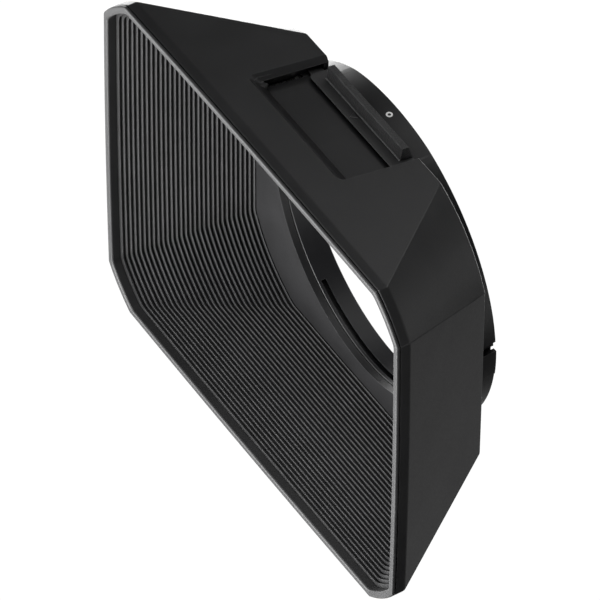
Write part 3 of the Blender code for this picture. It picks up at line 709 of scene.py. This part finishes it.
def collar_skin():
    """The round collar with its panel, the notch for the grip and the beds of its screws."""
    relief_r = FLANGE_R + GAP
    relief_y = COLLAR_FRONT + FLANGE_T + GAP
    inner_r = SLEEVE_R + GAP
    profile = [(COLLAR_R, COLLAR_FRONT)]
    for run, drop in reversed(quarter(COLLAR_CHAMFER)):
        profile.append((COLLAR_R - drop, COLLAR_REAR - run))
    profile += [(inner_r, COLLAR_REAR), (inner_r, relief_y)]
    profile += [(relief_r, relief_y), (relief_r, COLLAR_FRONT)]
    collar = turned("collar_skin", profile)
    cut(collar, panel_cutter())
    cut(collar, facet_prism("door_recess", POCKET_HALF_X, door_recess_outline()))
    cut_lock_pocket(collar)
    for number in range(1, COLLAR_SCREWS + 1):
        low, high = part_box(f"collar_screw_{number}")
        x, z = (low.x + high.x) / 2, (low.z + high.z) / 2 - AXIS_HEIGHT
        sink_y = high.y - SCREW_SINK - GAP
        ends = (axis_point(sink_y, x, z), axis_point(REAR, x, z))
        cut(collar, cylinder("sink", SCREW_HEAD_R + GAP, *ends))
    return show(collar, "hood", "collar_plastic", LOOKS["collar"], "mount_collar")


def cut_lock_pocket(collar):
    """Room for the button's pad, its arm and the cover, with a thumb notch above the pad."""
    low_r = SLEEVE_R - GAP
    high_r = COLLAR_R + OVERSHOOT
    pad = (low_r, high_r, PAD_FOOT - SLACK, PAD_TOP + 2 * SLACK, LOCK_FRONT, REAR)
    cut(collar, sector_prism("pad_bay", *pad))
    arm = (low_r, LOCK_POCKET_R, ARM_END - 2 * SLACK, PAD_FOOT + SLACK, LOCK_FRONT, REAR)
    cut(collar, sector_prism("arm_bay", *arm))
    notch = (NOTCH_R, high_r, PAD_TOP - SLACK, NOTCH_TOP, LOCK_FRONT, REAR)
    cut(collar, sector_prism("notch", *notch))
    seat_y = COLLAR_REAR - COVER_T - 1.5 * GAP
    seat = (low_r, PAD_INNER_R, COVER[0] - SLACK, COVER[1] + SLACK, seat_y, REAR)
    cut(collar, sector_prism("cover_seat", *seat))


def ring_skin():
    """The sleeve with its bayonet grooves, their entries and the slot for the lock's tooth."""
    edge = RING_EDGE
    profile = [
        (FLANGE_R, COLLAR_FRONT),
        (FLANGE_R, COLLAR_FRONT + FLANGE_T),
        (SLEEVE_R, COLLAR_FRONT + FLANGE_T),
        (SLEEVE_R, REAR - edge),
        (SLEEVE_R - edge, REAR),
        (BORE_R + edge, REAR),
        (BORE_R, REAR - edge),
        (BORE_R, COLLAR_FRONT + edge),
        (BORE_R + edge, COLLAR_FRONT),
    ]
    ring = turned("ring_skin", profile)
    groove_y = SEAT + GROOVE_OFFSET
    inner_r = BORE_R - OVERSHOOT
    for index in range(GROOVE_COUNT):
        start = GROOVE_START + index * 360.0 / GROOVE_COUNT
        end = start + GROOVE_SPAN
        groove = (start, end, groove_y, groove_y + GROOVE_W)
        cut(ring, sector_prism("groove", inner_r, GROOVE_R, *groove))
        entry = (end - ENTRY_SPAN, end, groove_y + GROOVE_W / 2, REAR + OVERSHOOT)
        cut(ring, sector_prism("entry", inner_r, GROOVE_R, *entry))
    slot = (TOOTH[0] - 6 * SLACK, TOOTH[1] + 2 * SLACK, LOCK_FRONT, COLLAR_REAR - COVER_T)
    cut(ring, sector_prism("tooth_slot", inner_r, SLEEVE_R + OVERSHOOT, *slot))
    return show(ring, "hood", "ring_plastic", LOOKS["ring"], "bayonet_ring")


def lock_mark():
    """A small painted ring on the panel that marks the locked position."""
    x = 3.1 * MM
    y = COLLAR_REAR - 3.4 * MM
    outer_r, inner_r = 1.05 * MM, 0.5 * MM
    steps = 48
    work = bmesh.new()
    rings = []
    sunk, proud = -0.05 * MM, 0.03 * MM
    for radius, lift in ((outer_r, sunk), (outer_r, proud), (inner_r, proud), (inner_r, sunk)):
        ring = []
        for step in range(steps):
            turn = 2 * math.pi * step / steps
            px, py = x + radius * math.cos(turn), y + radius * math.sin(turn)
            pz = PANEL_TOP - PANEL_R + math.sqrt(PANEL_R ** 2 - px ** 2) + lift
            ring.append(work.verts.new((px, py, pz + AXIS_HEIGHT)))
        rings.append(ring)
    for first, second in zip(rings, rings[1:] + rings[:1]):
        bridge(work, first, second)
    mark = from_bmesh("lock_mark", work)
    return show(mark, "hood", "collar_plastic", LOOKS["paint"])


# ---------------------------------------------------------------- sliding door

def door_plan(grow):
    """Plan of the door plate in (x, s) with rounded front corners."""
    half = DOOR_HALF_X - grow
    front = DOOR_FRONT - grow
    plan = [(half, DOOR_REAR + grow)]
    for centre_x, start in ((half, 0.0), (-half, 90.0)):
        side = 1.0 if centre_x > 0 else -1.0
        for step in range(DOOR_CORNER_STEPS + 1):
            turn = math.radians(start + 90.0 * step / DOOR_CORNER_STEPS)
            across = centre_x - side * DOOR_ROUND + DOOR_ROUND * math.cos(turn)
            plan.append((across, front - DOOR_ROUND + DOOR_ROUND * math.sin(turn)))
    plan.append((-half, DOOR_REAR + grow))
    return plan


def door_plate():
    """The sliding door: an undercut plate on two tongues that run in the guide slots."""
    under = DOOR_TOP - DOOR_T
    levels = [
        (under, DOOR_UNDERCUT),
        (DOOR_TOP - DOOR_LIP - DOOR_EDGE, DOOR_UNDERCUT),
        (DOOR_TOP - DOOR_LIP, 0.0),
        (DOOR_TOP - DOOR_EDGE, 0.0),
        (DOOR_TOP - DOOR_EDGE / 3, DOOR_EDGE / 3),
        (DOOR_TOP, DOOR_EDGE),
    ]
    rings = []
    for height, grow in levels:
        rings.append([facet_point(x, s, height) for x, s in door_plan(grow)])
    door = loft("door_plate", rings, closed=False)
    low = under + TONGUE_STEP
    high = low + TONGUE_T
    rear = GUIDE_STOP + GAP
    tongue = [(TONGUE_FRONT, high), (TONGUE_FRONT, low), (rear, low), (rear, high)]
    join(door, facet_prism("tongue", TONGUE_HALF_X, tongue))
    return show(door, "door", "door_plastic", LOOKS["door"], "window_door")


def door_arrow():
    """A raised triangle that points the way the door opens."""
    centre_x = -2.2 * MM
    tip_s, base_s = 6.6 * MM, 4.1 * MM
    half, height = 1.5 * MM, 0.3 * MM
    levels = ((-0.05 * MM, 0.0), (height * 0.6, 0.05 * MM), (height, 0.22 * MM))
    rings = []
    for lift, shrink in levels:
        tip = (centre_x, tip_s - 2 * shrink)
        right = (centre_x + half - 1.5 * shrink, base_s + shrink)
        left = (centre_x - half + 1.5 * shrink, base_s + shrink)
        rings.append([facet_point(x, s, DOOR_TOP + lift) for x, s in (tip, right, left)])
    arrow = loft("door_arrow", rings, closed=False)
    return show(arrow, "door", "door_plastic", LOOKS["door"])


def grip_bar():
    """The finger bar: a steep front, a narrow top and a long back slope, all softly rounded."""
    foot = DOOR_TOP + GRIP_SEAT
    radius = GRIP_ROUND
    steps = 5
    toe_run, toe_rise = 0.25 * MM, 0.35 * MM
    top_run = 0.1 * MM
    sweep_share = 0.55
    outline = [(GRIP_FRONT + toe_run, foot), (GRIP_FRONT, foot + toe_rise)]
    centre_w = GRIP_TOP - radius
    for step in range(steps + 1):
        turn = math.radians(90.0) * step / steps
        across = GRIP_FRONT - radius + radius * math.cos(turn)
        outline.append((across, centre_w + radius * math.sin(turn)))
    back_slope = math.atan2(GRIP_TOP - foot, GRIP_TOP_REAR - DOOR_REAR)
    sweep = (math.radians(90.0) - back_slope) * sweep_share
    for step in range(steps + 1):
        turn = math.radians(90.0) + sweep * step / steps
        across = GRIP_TOP_REAR + top_run + radius * math.cos(turn)
        outline.append((across, centre_w + radius * math.sin(turn)))
    outline.append((DOOR_REAR, foot))
    grip = facet_prism("grip_bar", GRIP_HALF_X, outline)
    round_edges(grip, GRIP_EDGE, 3, SHARP_ANGLE)
    return show(grip, "door", "grip_plastic", LOOKS["grip"], "door_grip")


# ---------------------------------------------------------------- lock button

def lock_rocker():
    """The rocker: press pad, hub on the pin, and an arm with the latch tooth at its end."""
    outline = arc(PAD_OUTER_R, PAD_TOP, PAD_FOOT)
    outline += [polar(ARM_OUTER_R + GAP, PAD_FOOT), polar(ARM_OUTER_R, PAD_FOOT - ARM_NECK)]
    outline += [polar(ARM_END_R, ARM_END), polar(ARM_END_INNER_R, ARM_END)]
    outline += [polar(ARM_END_INNER_R, TOOTH[0]), polar(TOOTH_TIP_R, TOOTH[0])]
    outline += [polar(TOOTH_TIP_R, TOOTH[1]), polar(ARM_END_INNER_R, TOOTH[1])]
    outline += [polar(ARM_INNER_R, PIVOT_ANGLE - HUB_FOOT), polar(ARM_INNER_R, PIVOT_ANGLE + HUB_HEAD)]
    outline += arc(PAD_INNER_R, PIVOT_ANGLE + HUB_TO_PAD, PAD_TOP)
    y_from = LOCK_FRONT + GAP
    button = axial_prism("lock_rocker", outline, y_from, COLLAR_REAR - COVER_T - 2 * GAP)
    skin = (PAD_SKIN_R, PAD_OUTER_R, PAD_FOOT, PAD_TOP, y_from + GAP, COLLAR_REAR - GAP / 2)
    join(button, sector_prism("pad_skin", *skin))
    x, z = polar(PIVOT_R, PIVOT_ANGLE)
    ends = (axis_point(LOCK_FRONT - OVERSHOOT, x, z), axis_point(REAR, x, z))
    cut(button, cylinder("pivot_hole", PIN_R + GAP, *ends))
    round_edges(button, BUTTON_EDGE, 2, SHARP_ANGLE)
    return show(button, "button", "button_plastic", LOOKS["button"], "lock_button")


def lock_coil():
    """The coil under the press pad, which the pressed button shortens; here it is wound once, to the
    imported spring's size.
    """
    low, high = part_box("lock_spring")
    wire = 0.16 * MM
    radius = (high.z - low.z) / 2 - wire
    turns, steps = 4, 32
    curve = bpy.data.curves.new("lock_coil", "CURVE")
    curve.dimensions = "3D"
    curve.bevel_depth = wire
    curve.bevel_resolution = 3
    curve.use_fill_caps = True
    spline = curve.splines.new("POLY")
    count = turns * steps
    spline.points.add(count)
    for index in range(count + 1):
        turn = 2 * math.pi * index / steps
        x = low.x + wire + (high.x - low.x - 2 * wire) * index / count
        y = (low.y + high.y) / 2 + radius * math.cos(turn)
        z = (low.z + high.z) / 2 + radius * math.sin(turn)
        spline.points[index].co = (x, y, z, 1.0)
    coil = mesh_object("lock_coil", mesh_from_curve(curve))
    coil = show(coil, "hood", "spring_steel", LOOKS["spring"], "lock_spring")
    coil.modifiers.clear()
    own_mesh(coil)
    return coil


def carried_over():
    """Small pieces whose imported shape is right: they only get their rounded edges and metal."""
    looks = {"collar_screw": "screw", "grip_screw": "screw", "lock_cover_screw": "screw",
             "lock_pin": "screw", "detent_spring": "spring", "lock_cover": "collar"}
    for name, node in frame["nodes"].items():
        if node.hide_render:
            continue
        match = max((key for key in looks if name.startswith(key)), key=len)
        node.data.materials.clear()
        node.data.materials.append(LOOKS[looks[match]])
        weld = node.modifiers.new("weld", "WELD")
        weld.merge_threshold = WELD
        edges = node.modifiers.new("edges", "BEVEL")
        edges.width = SMALL_EDGE
        edges.segments = 2
        edges.limit_method = "ANGLE"
        edges.angle_limit = math.radians(SHARP_ANGLE)


# ---------------------------------------------------------------- materials

class Nodes:
    """Short ways to add and link shader nodes."""

    def __init__(self, name):
        self.material = bpy.data.materials.new(name)
        self.material.use_nodes = True
        self.tree = self.material.node_tree
        self.shader = self.tree.nodes["Principled BSDF"]
        self.position = self.add("ShaderNodeTexCoord").outputs["Object"]

    def add(self, kind, **values):
        node = self.tree.nodes.new(kind)
        for key, value in values.items():
            setattr(node, key, value)
        return node

    def link(self, output, socket):
        self.tree.links.new(output, socket)

    def noise(self, grain, detail=3.0, roughness=0.5):
        """Noise whose features are about grain metres across."""
        node = self.add("ShaderNodeTexNoise")
        self.link(self.position, node.inputs["Vector"])
        node.inputs["Scale"].default_value = 1.0 / grain
        node.inputs["Detail"].default_value = detail
        node.inputs["Roughness"].default_value = roughness
        return node.outputs["Fac"]

    def cells(self, grain):
        """Pits about grain metres across."""
        node = self.add("ShaderNodeTexVoronoi")
        self.link(self.position, node.inputs["Vector"])
        node.inputs["Scale"].default_value = 1.0 / grain
        return node.outputs["Distance"]

    def spread(self, source, low, high, source_low=0.3, source_high=0.7):
        """Maps the source's range onto low to high, and clamps what lies outside."""
        node = self.add("ShaderNodeMapRange")
        self.link(source, node.inputs["Value"])
        limits = {"From Min": source_low, "From Max": source_high, "To Min": low, "To Max": high}
        for key, value in limits.items():
            node.inputs[key].default_value = value
        return node.outputs["Result"]

    def calculate(self, first, second, operation="ADD"):
        """A sum, or another operation, of two outputs or numbers."""
        node = self.add("ShaderNodeMath", operation=operation)
        for socket, value in zip(node.inputs, (first, second)):
            if isinstance(value, float):
                socket.default_value = value
            else:
                self.link(value, socket)
        return node.outputs[0]

    def blend(self, factor, first, second):
        """A colour from first at factor 0 to second at factor 1."""
        node = self.add("ShaderNodeMix", data_type="RGBA")
        self.link(factor, node.inputs["Factor"])
        colour_a, colour_b = 6, 7
        for socket, value in ((node.inputs[colour_a], first), (node.inputs[colour_b], second)):
            if isinstance(value, tuple):
                socket.default_value = (*value, 1.0)
            else:
                self.link(value, socket)
        mixed_colour = 2
        return node.outputs[mixed_colour]

    def bump(self, height, distance, normal=None):
        """A normal that rises and falls with height, by distance metres at most."""
        node = self.add("ShaderNodeBump")
        node.inputs["Strength"].default_value = 1.0
        node.inputs["Distance"].default_value = distance
        self.link(height, node.inputs["Height"])
        if normal is not None:
            self.link(normal, node.inputs["Normal"])
        return node.outputs["Normal"]

    def openness(self, reach):
        """1 on open surface, less in grooves and gaps narrower than reach."""
        node = self.add("ShaderNodeAmbientOcclusion", samples=8)
        node.inputs["Distance"].default_value = reach
        return node.outputs["AO"]

    def edges(self, radius):
        """About 1 near an edge and 0 on flat surface."""
        bevel = self.add("ShaderNodeBevel", samples=4)
        bevel.inputs["Radius"].default_value = radius
        flat = self.add("ShaderNodeNewGeometry")
        dot = self.add("ShaderNodeVectorMath", operation="DOT_PRODUCT")
        self.link(bevel.outputs["Normal"], dot.inputs[0])
        self.link(flat.outputs["Normal"], dot.inputs[1])
        return self.spread(dot.outputs["Value"], 1.0, 0.0, 0.80, 0.995)


# How much paler an edge is rubbed than the plastic around it.
WORN = 0.07
# Sizes of the plastic's clouds, specks, rubbed patches and changes of sheen.
CLOUD_SIZE = 14 * MM
SPECK_SIZE = 0.5 * MM
RUB_SIZE = 1.4 * MM
SHEEN_SIZE = 0.9 * MM


def plastic(name, colour, roughness, grain=0.22 * MM, depth=0.012 * MM, rub_width=0.3 * MM,
            groove=2.5 * MM, dull=(0.35, 0.75), stipple=None):
    """Moulded black plastic: fine spark-eroded grain, slight clouding, edges rubbed paler.

    Painted shade: where the surface is less open than dull, measured over groove, its colour is
    darkened and its shine lowered, standing in for the shadow in grooves, gaps and corners.
    """
    nodes = Nodes(name)
    shader = nodes.shader
    clouds = nodes.noise(CLOUD_SIZE, 4.0, 0.55)
    specks = nodes.noise(SPECK_SIZE, 3.0, 0.6)
    darker = tuple(channel * 0.82 for channel in colour)
    lighter = tuple(channel * 1.22 for channel in colour)
    tone = nodes.blend(nodes.spread(clouds, 0.0, 1.0), darker, lighter)
    speck = tuple(channel * 1.5 for channel in colour)
    speckled = nodes.blend(nodes.spread(specks, 0.0, 0.35), tone, speck)
    rub_noise = nodes.spread(nodes.noise(RUB_SIZE, 4.0, 0.6), 0.5, 1.0)
    rub = nodes.calculate(nodes.edges(rub_width), rub_noise, "MULTIPLY")
    pale = tuple(channel + WORN for channel in colour)
    open_sky = nodes.openness(groove)
    rubbed = nodes.blend(rub, speckled, pale)
    # Painted shade: the colour that grooves, gaps and corners fall to, standing in for their shadow.
    painted_groove_shade = tuple(channel * 0.15 for channel in colour)
    surface = nodes.blend(nodes.spread(open_sky, 0.0, 1.0, *dull), painted_groove_shade, rubbed)
    nodes.link(surface, shader.inputs["Base Color"])
    base = nodes.spread(clouds, roughness - 0.015, roughness + 0.02)
    fine = nodes.spread(nodes.noise(SHEEN_SIZE, 3.0, 0.6), -0.03, 0.03)
    nodes.link(nodes.calculate(base, fine), shader.inputs["Roughness"])
    pits = nodes.cells(grain)
    grit = nodes.noise(grain * 0.6, 2.0, 0.5)
    height = nodes.calculate(pits, grit)
    normal = nodes.bump(height, depth)
    if stipple:
        dot_size, dot_height = stipple
        normal = nodes.bump(nodes.cells(dot_size), dot_height, normal)
    nodes.link(normal, shader.inputs["Normal"])
    # Painted shade on the reflections: the shine falls in grooves, gaps and corners.
    shine = nodes.spread(open_sky, 0.03, 0.5, *dull)
    nodes.link(shine, shader.inputs["Specular IOR Level"])
    return nodes.material


def metal(name, colour, roughness, grain):
    """Plain steel with fine drawn scratches and a little tarnish."""
    nodes = Nodes(name)
    shader = nodes.shader
    stain = nodes.noise(0.8 * MM, 4.0, 0.6)
    dull = tuple(channel * 0.7 for channel in colour)
    nodes.link(nodes.blend(nodes.spread(stain, 0.0, 1.0), dull, colour), shader.inputs["Base Color"])
    nodes.link(nodes.spread(stain, roughness + 0.1, roughness - 0.05), shader.inputs["Roughness"])
    nodes.link(nodes.bump(nodes.noise(grain, 2.0), 0.004 * MM), shader.inputs["Normal"])
    shader.inputs["Metallic"].default_value = 1.0
    return nodes.material


def paint(name, colour):
    """Thin paint with fine flecks where it covers less."""
    nodes = Nodes(name)
    shader = nodes.shader
    flecks = nodes.noise(0.12 * MM, 3.0, 0.6)
    thin = tuple(channel * 0.75 for channel in colour)
    nodes.link(nodes.blend(nodes.spread(flecks, 0.0, 1.0), thin, colour), shader.inputs["Base Color"])
    nodes.link(nodes.spread(flecks, 0.5, 0.65), shader.inputs["Roughness"])
    nodes.link(nodes.bump(flecks, 0.01 * MM), shader.inputs["Normal"])
    return nodes.material


LOOKS = {
    "hood": plastic("hood plastic", (0.010, 0.010, 0.0105), 0.36),
    "liner": plastic("liner plastic", (0.015, 0.015, 0.0155), 0.44, 0.16 * MM, 0.003 * MM, 0.06 * MM,
                     groove=0.8 * MM, dull=(0.35, 0.75)),
    "collar": plastic("collar plastic", (0.012, 0.012, 0.0125), 0.34, 0.18 * MM, 0.008 * MM),
    "ring": plastic("ring plastic", (0.009, 0.009, 0.010), 0.33, 0.20 * MM, 0.002 * MM),
    "door": plastic("door plastic", (0.020, 0.020, 0.0205), 0.42),
    "grip": plastic("grip plastic", (0.022, 0.022, 0.0225), 0.42, stipple=(0.7 * MM, 0.12 * MM)),
    "button": plastic("button plastic", (0.012, 0.012, 0.0125), 0.36),
    "screw": metal("screw steel", (0.52, 0.52, 0.54), 0.32, 0.10 * MM),
    "spring": metal("spring steel", (0.62, 0.61, 0.58), 0.26, 0.06 * MM),
    "paint": paint("mark paint", (0.85, 0.85, 0.84)),
}


# ---------------------------------------------------------------- studio

# Where the camera stands: degrees round the hood, above it and rolled, metres away from the
# collar's middle, and metres moved left and down.
CAMERA_TURNS = (57.595, 46.291, 0.37)
CAMERA_DISTANCE = 2.173
CAMERA_SHIFT = (0.0269, 0.01824)
CAMERA_LENS = 440.3
SENSOR_WIDTH = 36.0
CLIP_START = 0.1
CLIP_END = 50.0

# The rim's lower edge is crowned, so the sheet under it lies a little lower.
FLOOR_DROP = 0.9 * MM
FLOOR_HALF = 8.0

# Round lights: direction from the middle of the hood, power in watts, diameter in metres.
WIDE = 0.36
NARROW = 0.12
SOFTBOXES = (
    ((0.22, -0.98, 0.02), 1.8, WIDE),
    ((-0.12, -0.93, 0.35), 1.4, WIDE),
    ((-0.20, -0.95, -0.20), 3.0, WIDE),
    ((0.00, -0.80, -0.60), 1.8, WIDE),
    ((-0.62, -0.77, -0.10), 2.0, WIDE),
    ((0.35, -0.75, 0.56), 0.8, WIDE),
    ((0.51, -0.80, -0.31), 0.4, WIDE),
    ((0.04, -0.44, 0.90), 1.1, WIDE),
    ((-0.93, 0.35, -0.12), 1.2, WIDE),
    ((-0.79, -0.07, -0.60), 0.7, WIDE),
    ((-0.31, -0.15, -0.94), 0.4, WIDE),
    ((-0.52, 0.27, -0.81), 0.6, WIDE),
    ((-0.60, 0.64, -0.48), 0.8, WIDE),
    ((-0.20, 0.66, 0.72), 0.28, WIDE),
    ((0.06, 0.66, 0.75), 0.14, NARROW),
    ((0.77, 0.62, -0.16), 0.10, NARROW),
    ((0.97, 0.15, -0.10), 0.20, WIDE),
    ((0.60, 0.80, 0.10), 0.15, WIDE),
    ((-0.20, 0.95, -0.20), 0.3, WIDE),
    ((0.04, 0.57, -0.82), 0.08, WIDE),
)
SOFTBOX_DISTANCE = 0.50
FILL = 0.05
BACKDROP = 1.05


def camera():
    """Looks down at the hood from its button side, in front of and above it."""
    azimuth, elevation, roll = (math.radians(angle) for angle in CAMERA_TURNS)
    shift_x, shift_y = CAMERA_SHIFT
    level = math.cos(elevation)
    back = Vector((math.sin(azimuth) * level, -math.cos(azimuth) * level, math.sin(elevation)))
    right = Vector((math.cos(azimuth), math.sin(azimuth), 0.0))
    up = back.cross(right)
    right_rolled = right * math.cos(roll) + up * math.sin(roll)
    up_rolled = up * math.cos(roll) - right * math.sin(roll)
    origin = Vector((0.0, COLLAR_REAR, AXIS_HEIGHT))
    place = origin - right_rolled * shift_x - up_rolled * shift_y + back * CAMERA_DISTANCE
    data = bpy.data.cameras.new("camera")
    data.sensor_width = SENSOR_WIDTH
    data.lens = CAMERA_LENS
    data.clip_start = CLIP_START
    data.clip_end = CLIP_END
    item = bpy.data.objects.new("camera", data)
    turn = Matrix((right_rolled, up_rolled, back)).transposed().to_4x4()
    item.matrix_world = Matrix.Translation(place) @ turn
    bpy.context.scene.collection.objects.link(item)
    bpy.context.scene.camera = item


def floor():
    """A white sheet that the camera sees and that sends no light back to the hood."""
    work = bmesh.new()
    bmesh.ops.create_grid(work, x_segments=1, y_segments=1, size=FLOOR_HALF)
    item = from_bmesh("floor", work)
    item.location.z = -FLOOR_DROP
    material = bpy.data.materials.new("floor paper")
    material.use_nodes = True
    tree = material.node_tree
    tree.nodes.clear()
    glow = tree.nodes.new("ShaderNodeEmission")
    glow.inputs["Color"].default_value = (1.0, 1.0, 1.0, 1.0)
    glow.inputs["Strength"].default_value = BACKDROP
    output = tree.nodes.new("ShaderNodeOutputMaterial")
    tree.links.new(glow.outputs[0], output.inputs["Surface"])
    item.data.materials.append(material)
    item.visible_diffuse = False
    item.visible_glossy = False
    item.visible_transmission = False
    item.visible_shadow = False


def softboxes():
    """Round lights on a sphere about the hood, each turned to its middle."""
    middle = Vector((0.0, 0.0, AXIS_HEIGHT))
    for direction, power, width in SOFTBOXES:
        outward = Vector(direction).normalized()
        data = bpy.data.lights.new("softbox", "AREA")
        data.shape = "DISK"
        data.size = width
        data.energy = power
        item = bpy.data.objects.new("softbox", data)
        item.rotation_mode = "QUATERNION"
        item.rotation_quaternion = outward.to_track_quat("Z", "Y")
        item.location = middle + outward * SOFTBOX_DISTANCE
        item.visible_camera = False
        bpy.context.scene.collection.objects.link(item)


def world():
    """White seen by the camera, and a faint even fill for the object."""
    scene_world = bpy.data.worlds.new("studio")
    bpy.context.scene.world = scene_world
    scene_world.use_nodes = True
    tree = scene_world.node_tree
    tree.nodes.clear()
    fill = tree.nodes.new("ShaderNodeBackground")
    fill.inputs["Strength"].default_value = FILL
    backdrop = tree.nodes.new("ShaderNodeBackground")
    backdrop.inputs["Strength"].default_value = BACKDROP
    rays = tree.nodes.new("ShaderNodeLightPath")
    switch = tree.nodes.new("ShaderNodeMixShader")
    tree.links.new(rays.outputs["Is Camera Ray"], switch.inputs["Fac"])
    tree.links.new(fill.outputs[0], switch.inputs[1])
    tree.links.new(backdrop.outputs[0], switch.inputs[2])
    output = tree.nodes.new("ShaderNodeOutputWorld")
    tree.links.new(switch.outputs[0], output.inputs["Surface"])


shell_skin()
liner_skin()
collar_skin()
ring_skin()
lock_mark()
door_plate()
door_arrow()
grip_bar()
lock_rocker()
lock_coil()
carried_over()
camera()
floor()
softboxes()
world()
bpy.context.scene.view_settings.view_transform = "Standard"
